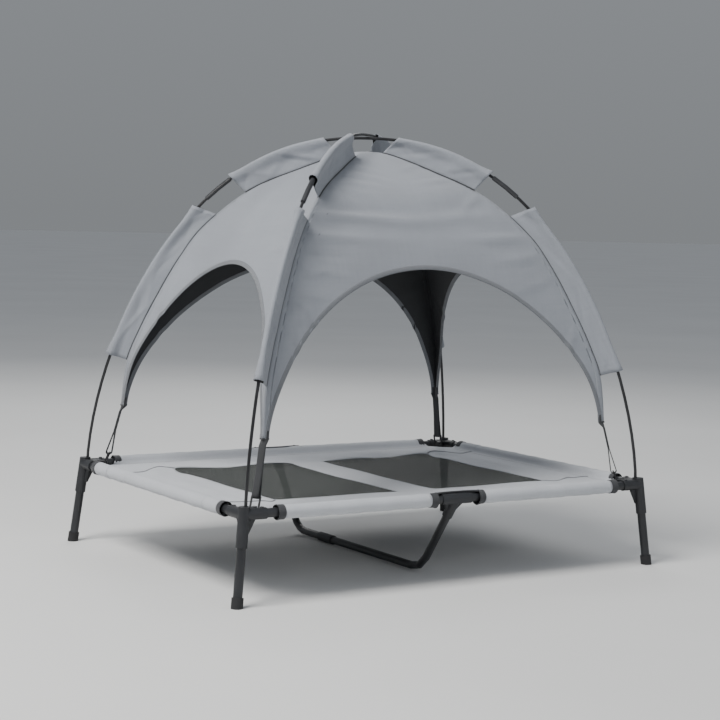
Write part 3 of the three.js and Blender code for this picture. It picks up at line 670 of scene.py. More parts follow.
LONG, SHORT = (COS, SIN, LONG_ARCH_REACH), (SIN, COS, SHORT_ARCH_REACH)
PANELS = (
    Panel((0, -1), *LONG, 0.007, FRONT_FOLDS),
    Panel((1, 0), *SHORT, 0.006, SIDE_FOLDS),
    Panel((0, 1), *LONG, 0.007, FRONT_FOLDS),
    Panel((-1, 0), *SHORT, 0.006, SIDE_FOLDS),
)


def make_canopy(materials):
    """The dome as one continuous sheet: four panels welded along the ridges, with arched openings."""
    arch_columns, tongue_columns, rows, uv_gap = 88, 4, 64, 1.7
    sheet = Patches()
    for number, panel in enumerate(PANELS):
        across, ends = panel.arch(np.linspace(math.pi, 0, arch_columns))
        shares = across / panel.half_width(ends)
        edge = shares[-1] + (1 - shares[-1]) * np.arange(1, tongue_columns + 1) / tongue_columns
        shares = np.concatenate([-edge[::-1], shares, edge])
        tips = np.ones(tongue_columns)
        s = np.concatenate([tips, ends, tips])[None, :] * np.linspace(0, 1, rows + 1)[:, None]
        place_across = shares[None, :] * panel.half_width(s)
        flat = np.stack([place_across + number * uv_gap, panel.down_at(s)], axis=-1)
        # Down then across runs clockwise from outside, so the faces are turned over.
        sheet.add(panel.place(place_across, s), flat, turn=True)
    canopy = sheet.piece("canopy", materials["canopy"], materials["lining"], weld=True)
    thicken(canopy, CANOPY_THICKNESS)
    return canopy


def make_arch_hems(materials):
    """The tape that binds each open edge, folded over it: outer face, fold, inner face."""
    tape, proud, under = 0.011, 0.0006, CANOPY_THICKNESS + 0.0006
    section = (
        (tape, 0.0001),
        (tape - 0.0006, proud),
        (tape / 2, proud + 0.0002),
        (0.001, proud),
        (-0.0007, -0.0001),
        (-0.0007, -CANOPY_THICKNESS),
        (0.001, -under),
        (tape / 2, -under - 0.0002),
        (tape - 0.0006, -under),
    )
    hems = Patches()
    for panel in PANELS:
        rows, flat = [], []
        for inset, lift in section:
            line = panel.arch_line(inset)
            rows.append(panel.place(line[:, 0], panel.s_of_down(line[:, 1]), lift))
            flat.append(np.stack([np.full(len(line), inset - lift), lengths(line)], axis=1))
        hems.add(rows, flat)
    return hems.piece("canopy_hems", materials["hem"])


# ---------------------------------------------------------------- stitches
STITCH_RADIUS = 0.00045
STITCH_SIDES = 5
HEM_STITCH_INSET = 0.0086
RIDGE_STITCH_INSET = 0.0045


def stitch_mesh(name, rows, material, pitch=0.0042, share=0.68):
    """One mesh of sewn stitches. A row is a line of points and the surface normal at each."""
    points, faces = [], []
    for line, normals in rows:
        line, normals = np.asarray(line), np.asarray(normals)
        run = lengths(line)
        count = int(run[-1] / pitch)
        for number in range(count):
            middle = (number + 0.5) * pitch
            ends = [middle - pitch * share / 2, middle + pitch * share / 2]
            a, b = (np.array([np.interp(e, run, line[:, k]) for k in range(3)]) for e in ends)
            up = unit(np.array([np.interp(middle, run, normals[:, k]) for k in range(3)]))
            along = b - a
            along /= max(np.linalg.norm(along), 1e-9)
            side = np.cross(along, up)
            base = len(points)
            points.append(a - up * STITCH_RADIUS * 0.6)
            for end, shift in ((a, 0.22), (b, -0.22)):
                for turn in range(STITCH_SIDES):
                    angle = math.tau * turn / STITCH_SIDES
                    ring = side * math.cos(angle) + up * math.sin(angle)
                    points.append(end + along * shift * pitch * share + ring * STITCH_RADIUS)
            points.append(b - up * STITCH_RADIUS * 0.6)
            far, last = STITCH_SIDES, base + 2 * STITCH_SIDES + 1
            for turn in range(STITCH_SIDES):
                one, two = base + 1 + turn, base + 1 + (turn + 1) % STITCH_SIDES
                faces.append((base, two, one))
                faces.append((one, two, two + far, one + far))
                faces.append((last, one + far, two + far))
    return new_piece(name, points, faces, [material])


def arch_stitches():
    rows = []
    for panel in PANELS:
        line = panel.arch_line(HEM_STITCH_INSET)
        s = panel.s_of_down(line[:, 1])
        rows.append((panel.place(line[:, 0], s, 0.0008), panel.normal(s)))
    return rows


def ridge_stitches():
    """Two rows beside each ridge seam, one on each panel."""
    rows = []
    s = np.linspace(0.08, 0.985, 160)
    for panel in PANELS:
        for sign in (-1, 1):
            across = sign * (panel.half_width(s) - RIDGE_STITCH_INSET)
            rows.append((panel.place(across, s, 0.0004), panel.normal(s)))
    return rows


# ---------------------------------------------------------------- pole sleeves
def pole_at(angle, rise):
    reach = POLE_REACH * np.cos(angle) ** (2 / POLE_WIDTH_POWER)
    height = POLE_FOOT + rise * np.sin(angle) ** (2 / POLE_HEIGHT_POWER)
    return np.stack([reach, height], axis=-1)


def pole_angle(reach):
    return math.acos((reach / POLE_REACH) ** (POLE_WIDTH_POWER / 2))


class CornerPlane:
    """The upright plane through the middle and one corner, with the direction across it."""

    def __init__(self, place):
        self.signs = CORNERS[place]
        self.outward = np.array((self.signs[0] * COS, self.signs[1] * SIN, 0.0))
        self.across = np.array((-self.outward[1], self.outward[0], 0.0))
        over = self.signs[0] == self.signs[1]
        self.rise = POLE_RISE + (CROSSING_OFFSET if over else -CROSSING_OFFSET)
        self.slide = -self.signs[0] * (OVER_SLIDE if over else UNDER_SLIDE)

    def point(self, reach, height, across=0.0):
        reach, height, across = np.broadcast_arrays(reach, height, across)
        flat = reach[..., None] * self.outward + across[..., None] * self.across
        return flat + height[..., None] * np.array((0.0, 0.0, 1.0))


# Pocket: half width of the rolled edge at the sleeve's top, middle and lower mouth. Slide: how far the
# two ends move along with the pole. Flare: how far the edge stands out at the two mouths.
SLEEVES = {
    "upper": {
        "pole": (0.092, 0.337),
        "seam": (0.056, 0.299),
        "pocket": (0.0092, 0.0078, 0.0118),
        "wave": 0.0036,
        "slide": (1.0, 1.0),
        "flare": (0.0010, 0.0030),
    },
    "lower": {
        "pole": (0.434, 0.670),
        "seam": (0.384, 0.625),
        "pocket": (0.0120, 0.0070, 0.0125),
        "wave": 0.0030,
        "slide": (0.5, 0.0),
        "flare": (0.0045, 0.0030),
    },
}
OVER_SLIDE = 0.034
UNDER_SLIDE = 0.018
PLY_GAP = 0.0011
SLEEVE_THICKNESS = 0.0008
FLARE_FADE = 0.05
# The pocket opens between these shares of the way out from the seam.
POCKET_RISE = (0.52, 0.97)
# Creases across a sleeve: share of the way along it, slant, breadth and height.
SLEEVE_CREASES = (
    (0.07, 0.20, 0.018, 0.0024), (0.16, -0.30, 0.022, -0.0026), (0.30, 0.36, 0.026, 0.0030),
    (0.42, 0.30, 0.020, -0.0022), (0.55, -0.34, 0.028, 0.0026), (0.68, -0.26, 0.020, -0.0020),
    (0.80, 0.30, 0.024, 0.0030), (0.90, -0.22, 0.018, -0.0024), (0.96, -0.14, 0.014, 0.0016),
)


def sleeve_section(plane, kind, rows, seed):
    """Points of a folded sleeve, rows along it by points round it, with the flat cloth position."""
    spec = SLEEVES[kind]
    share = np.linspace(0, 1, rows)
    moved = [plane.slide * part for part in spec["slide"]]
    first, last = (pole_angle(reach + move) for reach, move in zip(spec["pole"], moved))
    pole = pole_at(first + share * (last - first), plane.rise)
    ends = [s_of_reach(reach + move) for reach, move in zip(spec["seam"], moved)]
    seam_reach, seam_height = ridge_at(ends[0] + share * (ends[1] - ends[0]))
    seam = np.stack([seam_reach, seam_height - 0.001], axis=1)
    length = np.linalg.norm(pole - seam, axis=1)
    outward = unit(pole - seam)
    top, middle, mouth = spec["pocket"]
    pocket = np.interp(share, (0, 0.12, 0.86, 1), (top, middle, middle, mouth))
    top_flare, mouth_flare = spec["flare"]
    flare = top_flare * np.exp(-share / FLARE_FADE) + mouth_flare * np.exp((share - 1) / FLARE_FADE)
    ply = np.linspace(0, 1, 12)
    ply_wide = [PLY_GAP + (pocket - PLY_GAP) * smooth(step, *POCKET_RISE) for step in ply]
    edge_turns = np.linspace(0, math.pi, 11)[1:-1]
    edge_out = [length + (pocket * 0.95 + flare) * math.sin(turn) for turn in edge_turns]
    edge_wide = [pocket * math.cos(turn) for turn in edge_turns]
    out = np.array([*(length * step for step in ply), *edge_out, *(length * step for step in ply[::-1])]).T
    wide = np.array([*ply_wide, *edge_wide, *(-half for half in ply_wide[::-1])]).T
    fraction = np.clip(out / length[:, None], 0, 1)
    phase = seed * 1.7
    belly = np.sin(share * 7.0 + phase) * 0.6 + np.sin(share * 15.0 + 2.1 * phase) * 0.4
    wave = spec["wave"] * belly[:, None] * np.sin(math.pi * fraction) ** 1.5
    lean = 0.9 * spec["wave"] * np.sin(share * 3.1 + phase)[:, None] * fraction**2 * (1 - fraction)
    crease = np.zeros_like(out)
    for number, (at, slant, breadth, height) in enumerate(SLEEVE_CREASES):
        shifted = at + 0.03 * math.sin(seed * 5.3 + number * 2.1)
        distance = share[:, None] - shifted - slant * (fraction - 0.5)
        strength = 0.65 + 0.35 * math.sin(seed * 3.7 + number * 1.3)
        crease += height * strength * np.exp(-0.5 * (distance / breadth) ** 2) * np.sin(math.pi * fraction)
    side = wide + wave + lean + crease
    reach, height = (seam[:, k][:, None] + out * outward[:, k][:, None] for k in (0, 1))
    points = plane.point(reach, height, side)
    round_run = np.linalg.norm(np.diff(np.stack([out, wide], axis=-1), axis=1), axis=2)
    round_run = np.concatenate([np.zeros((rows, 1)), np.cumsum(round_run, axis=1)], axis=1)
    along_run = np.broadcast_to((share * lengths(pole)[-1])[:, None], round_run.shape)
    return points, np.stack([round_run, along_run], axis=-1)


def make_sleeve(place, kind, seed, materials):
    """A strip of canopy cloth folded over the pole, its two plies sewn to the ridge."""
    points, uv = sleeve_section(CornerPlane(place), kind, 46, seed)
    patch = Patches()
    patch.add(points, uv)
    sleeve = patch.piece(f"{kind}_pole_sleeve_{place}", materials["canopy"], materials["lining"])
    thicken(sleeve, SLEEVE_THICKNESS)
    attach(sleeve, "canopy")
    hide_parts(f"{kind}_sleeve_{place}")
    return points


def sleeve_stitch_rows(points):
    """Rows round each mouth, and rows along both plies just above the seam."""
    centre = points.mean(axis=1, keepdims=True)
    beside = points.shape[1] - 2
    lines = [(points[row], points[row] - centre[row], 0.0002) for row in (1, -2)]
    for column, other in ((1, beside), (beside, 1)):
        lines.append((points[:, column], points[:, column] - points[:, other], 0.0001))
    return [(line + unit(outward) * lift, unit(outward)) for line, outward, lift in lines]


def make_seam_shadow_piping(sleeves, materials):
    """Dark piping where each sleeve's plies meet the ridge, a thin welt that follows both plies. It is partly
    dark thread and partly painted shade, standing in for the shadow line under each sleeve's base.
    """
    points, faces, uv = [], [], []
    sides = 8
    for line, thickness in sleeves:
        left, right = line[:, 0], line[:, -1]
        rise, apart = unit(line[:, 1] - left), unit(left - right)
        middle = (left + right) / 2 + rise * 0.0012
        start, count, run = len(points), len(middle), lengths(middle)
        for turn in range(sides):
            angle = math.tau * turn / sides
            ring = apart * math.cos(angle) * thickness * 1.5 + rise * math.sin(angle) * thickness
            points.extend(middle + ring)
            uv.extend(np.stack([np.full(count, turn * 0.001), run], axis=1))
            for i in range(count - 1):
                a, b = start + turn * count + i, start + (turn + 1) % sides * count + i
                faces.append((a, b, b + 1, a + 1))
    return new_piece("sleeve_shadow_piping", points, faces, [materials["elastic"]], uv)


# ---------------------------------------------------------------- tongues and elastic bands
BAND_HALF_WIDTH = 0.0092
BAND_HALF_PLY = 0.0012
BAND_SPLIT = 0.45
BAND_FOOT = (0.669, 0.245)
BAND_LOOP = 0.0074
# How far a band's end is in from the tongue's tip, and where it is sewn from there.
BAND_INSET, BAND_SEWN = 0.0035, (-0.0022, 0.020)
BAND_STEP = 0.004
BAND_BLEND_LOW = 0.237
# Depth of the webbing on a tongue's tip.
TIP_DEPTH = 0.0035


def make_tongue_tips(materials):
    """Black webbing folded over the end of each tongue, round the L of its two panels."""
    depth, clear = TIP_DEPTH, 0.0008
    section = ((depth, 0.0001), (depth - 0.0004, 0.0009), (0.0, 0.0009), (-0.0009, -0.0006),
               (0.0, -0.0021), (depth - 0.0004, -0.0021))
    tips = Patches()
    for number, panel in enumerate(PANELS):
        other = PANELS[(number + 1) % 4]
        rows, flat = [], []
        for up, lift in section:
            s_here, s_next = (side.s_of_down(side.down[-1] - up) for side in (panel, other))
            left = np.linspace(panel.arch_reach - clear, float(panel.half_width(s_here)) + lift, 7)
            right = np.linspace(-float(other.half_width(s_next)) - lift, clear - other.arch_reach, 7)
            line = np.concatenate([panel.place(left, s_here, lift)[:-1], other.place(right, s_next, lift)])
            rows.append(line - (0, 0, max(-up, 0)))
            flat.append(np.stack([lengths(line), np.full(len(line), up - lift)], axis=1))
        tips.add(rows, flat)
    return tips.piece("tongue_tips", materials["elastic"])


def make_band(place, materials):
    """One loop of flat elastic, sewn inside the tongue and passed through the ring on the hook."""
    plane = CornerPlane(place)
    foot = np.array(BAND_FOOT)
    tip = np.array((RIDGE_REACH[-1] - BAND_INSET, TONGUE_TIP))
    lower = [(foot[0] + BAND_LOOP * math.cos(a), foot[1] + BAND_LOOP * math.sin(a))
             for a in np.linspace(0, -math.pi, 13)]
    sewn = tip + np.array(BAND_SEWN)
    split = foot + (tip - foot) * BAND_SPLIT
    near = np.array((BAND_HALF_PLY * 1.15, 0))
    outer, inner = [sewn + near, tip + near, split + near], [split - near, tip - near, sewn - near]
    line = resample([*outer, *map(np.array, lower), *inner], BAND_STEP)
    run = lengths(line)
    along = unit(np.gradient(line, axis=0))
    facing = np.stack([along[:, 1], -along[:, 0]], axis=1)
    across = np.linspace(-1, 1, 9)
    section = [(x, 1.0) for x in across] + [(x, -1.0) for x in across[::-1]]
    points, uv = [], []
    for (reach, height), (out, up), distance in zip(line, facing, run):
        folded = 1 - float(smooth(TONGUE_TIP - height, 0.000, 0.016))
        narrow = 1 - 0.08 * (1 - folded)
        for x, face in section:
            aside = x * BAND_HALF_WIDTH * narrow
            inset = folded * (abs(aside) * 0.95 + 0.001)
            edge = BAND_HALF_PLY * (1 - 0.35 * abs(x) ** 6)
            points.append(plane.point(reach - inset + face * edge * out, height + face * edge * up, aside))
            uv.append((aside, distance))
    faces = grid_faces(len(line), len(section), wrap=True)
    last = len(points) - len(section)
    faces.append(tuple(range(len(section)))[::-1])
    faces.append(tuple(range(last, len(points))))
    band = new_piece(f"elastic_loop_{place}", points, faces, [materials["elastic"]], uv)
    top = plane.point(tip[0], TONGUE_TIP)
    bottom = plane.point(foot[0], BAND_BLEND_LOW)
    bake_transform(band)
    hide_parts(f"elastic_band_{place}")


# ---------------------------------------------------------------- bed cover
SHEET_HEIGHT = 0.2082
SLEEVE_RADIUS = 0.0168
ROLL_ANGLE = math.radians(70)
ROLL_START = SLEEVE_RADIUS * math.sin(ROLL_ANGLE)
ROLL_END = 0.0230
UNDER_END = 0.040
COVER_THICKNESS = 0.0009
SLEEVE_END = 0.100
MOUTH = 0.084
MIDDLE_MOUTH = 0.062
MIDDLE_SLEEVE_END = 0.078
WRAP_STEPS = 29
WRAP_END = math.radians(232)
# Where the cloth over a middle tee stops, as steps of the wrap: over the tee, and at the sleeves.
TEE_EDGE_MIDDLE, TEE_EDGE_END = 6.2, 9
RAIL_SEAM = 0.265
SEAM_STEP = 0.006
CHAMFER_SUM = 0.9315
WINDOW_INNER, WINDOW_OUTER, WINDOW_HALF = 0.050, 0.412, 0.272
WINDOW_RADIUS, WINDOW_BOW = 0.016, 0.006
COVER_STEP = 0.011
COVER_SAG, COVER_SOFTNESS = 0.0045, 0.0008
WINDOW_STITCH_INSET = -0.005
RAIL_STITCH_INSETS = (0.034, 0.038)
MOUTH_LAP = 0.003

# Folds on the sheet: centre x and y, direction in degrees, length, breadth and height.
COVER_FOLDS = (
    (-0.380, 0.290, 8, 0.060, 0.034, 0.0075), (-0.260, 0.300, -6, 0.050, 0.034, -0.0060),
    (-0.130, 0.285, 4, 0.055, 0.034, 0.0070), (0.000, 0.300, 2, 0.050, 0.034, -0.0050),
    (0.150, 0.292, -6, 0.055, 0.034, 0.0065), (0.270, 0.300, 5, 0.050, 0.034, -0.0060),
    (0.390, 0.288, 10, 0.055, 0.030, 0.0065), (-0.300, -0.300, 4, 0.080, 0.030, -0.0040),
    (-0.110, -0.298, -4, 0.070, 0.030, 0.0035), (0.130, -0.298, 4, 0.080, 0.030, -0.0040),
    (0.330, -0.300, -5, 0.070, 0.030, 0.0035), (-0.470, 0.250, 60, 0.070, 0.018, 0.0032),
    (-0.490, 0.000, 88, 0.140, 0.024, 0.0024), (-0.480, -0.240, -62, 0.070, 0.018, 0.0030),
    (0.490, 0.060, 90, 0.150, 0.026, 0.0030), (0.480, -0.270, 52, 0.060, 0.018, 0.0030),
    (0.470, 0.270, -55, 0.070, 0.018, 0.0026), (-0.320, -0.350, -2, 0.110, 0.020, 0.0018),
    (0.280, -0.352, 2, 0.110, 0.020, 0.0016), (0.000, 0.100, 90, 0.120, 0.016, -0.0012),
)


def roll_height(inward):
    """Height of the sheet's top over the rail axis as it climbs onto a rail sleeve."""
    top, base = SLEEVE_RADIUS * math.cos(ROLL_ANGLE), SHEET_HEIGHT - RAIL_HEIGHT
    t = np.clip((inward - ROLL_START) / (ROLL_END - ROLL_START), 0, 1)
    return hermite(t, top, base, -math.tan(ROLL_ANGLE) * (ROLL_END - ROLL_START))


def cover_height(x, y):
    """Height of the sheet's top at a place inside the rails."""
    x, y = np.asarray(x, dtype=float), np.asarray(y, dtype=float)
    from_short, from_long = HALF_LENGTH - np.abs(x), HALF_WIDTH - np.abs(y)
    base = SHEET_HEIGHT - RAIL_HEIGHT
    climb = (roll_height(from_short) - base) + (roll_height(from_long) - base)
    free = smooth(np.minimum(from_short, from_long), 0.020, 0.060)
    sag = -COVER_SAG * np.cos(x / HALF_LENGTH * math.pi / 2) * np.cos(y / HALF_WIDTH * math.pi / 2)
    soft = COVER_SOFTNESS * np.sin(x * 19 + y * 7) * np.sin(y * 23 - x * 6)
    return SHEET_HEIGHT + climb + (sag + soft + folds_relief(x, y, COVER_FOLDS)) * free


def rounded_loop(inner, outer, half, radius, bow, step=0.008):
    """A window's outline: rounded corners, with sides that bow towards its middle by bow."""
    corners = ((outer, 1, -1), (outer, 1, 1), (inner, -1, 1), (inner, -1, -1))
    points = []
    for (cx, sx, sy), start in zip(corners, (-90, 0, 90, 180)):
        for turn in math.radians(start) + np.linspace(0, math.pi / 2, 7):
            points.append((cx - sx * radius + radius * math.cos(turn),
                           sy * half - sy * radius + radius * math.sin(turn)))
    line = resample(points + points[:1], step)[:-1]
    middle_x, half_x = (inner + outer) / 2, (outer - inner) / 2
    u, v = (line[:, 0] - middle_x) / half_x, line[:, 1] / half
    line[:, 0] -= bow * np.sign(u) * (1 - v**2) * smooth(np.abs(u), 0.8, 1.0)
    line[:, 1] -= bow * np.sign(v) * (1 - u**2) * smooth(np.abs(v), 0.8, 1.0)
    return line


def window_loop(side, inset=0.0):
    """The edge of one window, moved into the window by inset."""
    ends = WINDOW_INNER + inset, WINDOW_OUTER - inset, WINDOW_HALF - inset
    line = rounded_loop(*ends, WINDOW_RADIUS, WINDOW_BOW)
    return line if side > 0 else (line * (-1, 1))[::-1]


def cover_outline():
    """Edge of the flat part of the cover: along the rails and across the corners."""
    x_edge, y_edge = HALF_LENGTH - ROLL_START, HALF_WIDTH - ROLL_START
    x_end, y_end = HALF_LENGTH - SLEEVE_END, HALF_WIDTH - SLEEVE_END
    quarter = [
        (x_edge, y_end),
        (x_edge, CHAMFER_SUM - x_edge),
        (CHAMFER_SUM - y_edge, y_edge),
        (x_end, y_edge),
        (MIDDLE_SLEEVE_END, y_edge),
    ]
    right = [(x, -y) for x, y in quarter[::-1]] + quarter
    return right + [(-x, -y) for x, y in right]


def evenly(a, b, step=COVER_STEP):
    """Points from a to b without b, evenly spaced."""
    a, b = np.array(a), np.array(b)
    count = max(1, int(round(np.linalg.norm(b - a) / step)))
    return [tuple(a + (b - a) * i / count) for i in range(count)]


def inside(points, loop):
    """Which of the points lie inside a closed loop."""
    x, y = points[:, 0], points[:, 1]
    hit = np.zeros(len(points), dtype=bool)
    for (x1, y1), (x2, y2) in zip(loop, np.roll(loop, -1, axis=0)):
        crosses = (y1 > y) != (y2 > y)
        if y1 != y2:
            hit ^= crosses & (x < (x2 - x1) * (y - y1) / (y2 - y1) + x1)
    return hit


def on_cloth(points, loops):
    """Which of the points lie inside the first loop and outside the two windows."""
    return inside(points, loops[0]) & ~inside(points, loops[1]) & ~inside(points, loops[2])


def flat_sheet():
    """Points and triangles of the cover's flat part, with its two windows left open."""
    outline = cover_outline()
    outer = [p for a, b in zip(outline, outline[1:] + outline[:1]) for p in evenly(a, b)]
    loops = [np.array(outer), window_loop(1), window_loop(-1)]
    near = ROLL_START + np.array([0.0016, 0.0033, 0.0051, 0.0071, 0.0105, 0.0165])
    lines = []
    for half in (HALF_LENGTH, HALF_WIDTH):
        reach = half - near[-1] - COVER_STEP * 0.8
        middle = np.linspace(-reach, reach, int(round(2 * reach / COVER_STEP)) + 1)
        lines.append(np.sort(np.concatenate([middle, half - near, near - half])))
    grid_x, grid_y = np.meshgrid(*lines)
    field = np.stack([grid_x.ravel(), grid_y.ravel()], axis=1)
    edge_points = np.concatenate(loops)
    field = field[on_cloth(field, loops)]
    apart = np.min(np.linalg.norm(field[:, None] - edge_points[None], axis=2), axis=1)
    field = field[apart > 0.0019]
    points = [Vector(p) for p in np.concatenate([edge_points, field])]
    edges, start = [], 0
    for loop in loops:
        count = len(loop)
        edges += [(start + i, start + (i + 1) % count) for i in range(count)]
        start += count
    found = geometry.delaunay_2d_cdt(points, edges, [], 1, 1e-6)
    flat = np.array([tuple(p) for p in found[0]])
    middles = np.array([flat[list(f)].mean(axis=0) for f in found[2]])
    return flat, [tuple(f) for f, kept in zip(found[2], on_cloth(middles, loops)) if kept]


def wrap_profile():
    """The cover's path round a rail, from the flat part over the tube and back under: inward and up."""
    turns = np.linspace(-ROLL_ANGLE, WRAP_END, WRAP_STEPS + 1)
    profile = [(-SLEEVE_RADIUS * math.sin(a), SLEEVE_RADIUS * math.cos(a)) for a in turns]
    profile += [(0.0185, -0.0080), (0.0245, -0.0055), (0.0320, -0.0043), (UNDER_END, -0.0040)]
    return np.array(profile)


def rail_runs():
    """Each stretch of sleeve: long side or not, its sign, and where it starts and ends along the rail."""
    long_end, short_end = HALF_LENGTH - SLEEVE_END, HALF_WIDTH - SLEEVE_END
    runs = [(True, sign, a, b) for sign in (-1, 1)
            for a, b in ((-long_end, -MIDDLE_SLEEVE_END), (MIDDLE_SLEEVE_END, long_end))]
    return runs + [(False, sign, -short_end, short_end) for sign in (-1, 1)]


def on_rail(is_long, sign, along, inward, up):
    """A point beside a rail, from its place along it, distance inward and height over its axis."""
    half = HALF_WIDTH if is_long else HALF_LENGTH
    side = sign * (half - inward)
    return (along, side, RAIL_HEIGHT + up) if is_long else (side, along, RAIL_HEIGHT + up)


def tee_edge(along):
    """How far round the rail the cloth over a middle tee reaches, as an angle from the top."""
    steps = TEE_EDGE_MIDDLE + (TEE_EDGE_END - TEE_EDGE_MIDDLE) * smooth(abs(along), 0.022, MIDDLE_SLEEVE_END)
    return -ROLL_ANGLE + steps * (WRAP_END + ROLL_ANGLE) / WRAP_STEPS


def on_roll(sign, along, turn, lift=0.0):
    radius = SLEEVE_RADIUS + lift
    return on_rail(True, sign, along, -radius * math.sin(turn), radius * math.cos(turn))


def make_tee_bindings(materials):
    """Dark tape folded over the edge of the cloth above each middle tee."""
    section = ((-0.0050, 0.0), (-0.0044, 0.0016), (0.0, 0.0021), (0.0014, 0.0012), (0.0016, -0.0006),
               (0.0, -0.0018), (-0.0044, -0.0018))
    places = np.linspace(-MIDDLE_SLEEVE_END, MIDDLE_SLEEVE_END, 60)
    bindings = Patches()
    for sign in (-1, 1):
        rows = [[on_roll(sign, along, tee_edge(along) + reach / SLEEVE_RADIUS, lift) for along in places]
                for reach, lift in section]
        bindings.add(rows, [[(reach, along) for along in places] for reach, _ in section], turn=sign < 0)
    return bindings.piece("tee_bindings", materials["binding"])


def wrap_ripple(along, distance, run, sign, near_end):
    """How far the cloth round a rail stands off it, as a share of its radius."""
    slack = smooth(distance, 0.006, 0.03) * smooth(run - distance, 0.01, 0.04)
    ripple = 0.0005 * math.sin(along * 61 + distance * 40 + sign) + 0.0004 * math.sin(along * 143 + sign)
    pinch = -0.0007 * math.exp(-((near_end - 0.012) / 0.006) ** 2)
    return slack * (ripple + pinch) / SLEEVE_RADIUS


def places_between(start, end):
    """Places along a rail, evenly spaced, with both ends."""
    return [p[0] for p in evenly((start, 0), (end, 0))] + [end]


def make_cover(materials):
    """The bed cover as one sheet: the flat part, and its edges wrapped round the rails."""
    flat, triangles = flat_sheet()
    cloth = Patches()
    cloth.points += [*np.column_stack([flat, cover_height(flat[:, 0], flat[:, 1])])]
    cloth.uv += [*flat]
    cloth.faces += [f if orientation(flat, f) > 0 else f[::-1] for f in triangles]
    profile = wrap_profile()
    run = lengths(profile)
    for is_long, sign, start_at, end_at in rail_runs():
        rows, uv = [], []
        for along in places_between(start_at, end_at):
            near_end = min(along - start_at, end_at - along)
            grow = [1 + wrap_ripple(along, distance, run[-1], sign, near_end) for distance in run]
            rows.append([on_rail(is_long, sign, along, x * g, up * g) for (x, up), g in zip(profile, grow)])
            uv.append([(distance, along) for distance in run])
        cloth.add(rows, uv, turn=is_long != (sign < 0))
    for sign in (-1, 1):
        rows, uv = [], []
        for along in places_between(-MIDDLE_SLEEVE_END, MIDDLE_SLEEVE_END):
            turns = np.linspace(-ROLL_ANGLE, tee_edge(along), TEE_EDGE_END + 1)
            rows.append([on_roll(sign, along, turn) for turn in turns])
            uv.append([(SLEEVE_RADIUS * turn, along) for turn in turns])
        cloth.add(rows, uv, turn=sign > 0)
    cover = cloth.piece("bed_cover_cloth", materials["cover"], materials["cover_back"], weld=True)
    thicken(cover, COVER_THICKNESS)
    return cover


def orientation(flat, face):
    (ax, ay), (bx, by), (cx, cy) = (flat[i] for i in face[:3])
    return (bx - ax) * (cy - ay) - (by - ay) * (cx - ax)


def make_net(side, materials):
    """One mesh window: a slightly slack net whose edge is sewn under the cover."""
    overlap, drop, slack = 0.010, 0.0016, 0.003
    name = "left" if side < 0 else "right"
    xs = np.linspace(WINDOW_INNER - overlap, WINDOW_OUTER + overlap, 36)
    ys = np.linspace(-WINDOW_HALF - overlap, WINDOW_HALF + overlap, 54)
    grid_x, grid_y = np.meshgrid(xs, ys)
    slack_x, slack_y = (np.sin(math.pi * (grid - line[0]) / (line[-1] - line[0]))
                        for grid, line in ((grid_x, xs), (grid_y, ys)))
    height = cover_height(grid_x * side, grid_y) - drop - slack * slack_x * slack_y
    points = np.stack([grid_x * side, grid_y, height], axis=-1)
    patch = Patches()
    patch.add(points, points[..., :2] + 3, turn=side < 0)
    net = patch.piece(f"net_{name}", materials["net"])
    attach(net, "frame")
    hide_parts(f"mesh_window_{name}")


def cover_line(line, lift=0.0003):
    line = np.asarray(line, dtype=float)
    heights = cover_height(line[:, 0], line[:, 1]) + lift
    return np.column_stack([line, heights])


def tape(name, lines, half_width, lift, material):
    """Flat tapes that follow lines on the cover's sheet."""
    tapes = Patches()
    for line in lines:
        line = resample(line, SEAM_STEP)
        along = unit(np.gradient(line, axis=0))
        side = np.stack([-along[:, 1], along[:, 0]], axis=1)
        run = lengths(line)
        rows, uv = [], []
        for x, up in ((-1, -0.0004), (-0.8, lift), (0, lift * 1.2), (0.8, lift), (1, -0.0004)):
            rows.append(cover_line(line + side * x * half_width, up))
            uv.append(np.stack([np.full(len(run), x * half_width), run], axis=1))
        tapes.add(rows, uv, turn=True)
    return tapes.piece(name, material)


def corner_seams():
    """The seam from each outer window corner to the short side, bent towards the corner opening."""
    lines = []
    for sx in (-1, 1):
        for sy in (-1, 1):
            path = [
                (WINDOW_OUTER - 0.004, WINDOW_HALF - 0.004),
                (0.436, 0.290),
                (0.468, 0.282),
                (0.500, 0.264),
                (0.534, 0.258),
                (0.564, RAIL_SEAM),
            ]
            lines.append(catmull_rom([(sx * x, sy * y) for x, y in path], 6))
    return lines


def rail_seams(materials):
    """Thin raised seams round the short rails' sleeves, where the corner seams run out."""
    section = ((-0.0016, -0.0004), (-0.0011, 0.0007), (0.0, 0.0010), (0.0011, 0.0007), (0.0016, -0.0004))
    turns = np.linspace(-ROLL_ANGLE, WRAP_END, 48)
    seams = Patches()
    for sign in (-1, 1):
        for middle in (-RAIL_SEAM, RAIL_SEAM):
            rows, uv = [], []
            for aside, lift in section:
                radius, along = SLEEVE_RADIUS + lift, middle + aside
                around = [(-radius * math.sin(turn), radius * math.cos(turn)) for turn in turns]
                rows.append([on_rail(False, sign, along, *place) for place in around])
                uv.append([(aside, radius * turn) for turn in turns])
            seams.add(rows, uv, turn=sign > 0)
    return seams.piece("rail_seams", materials["cover"])


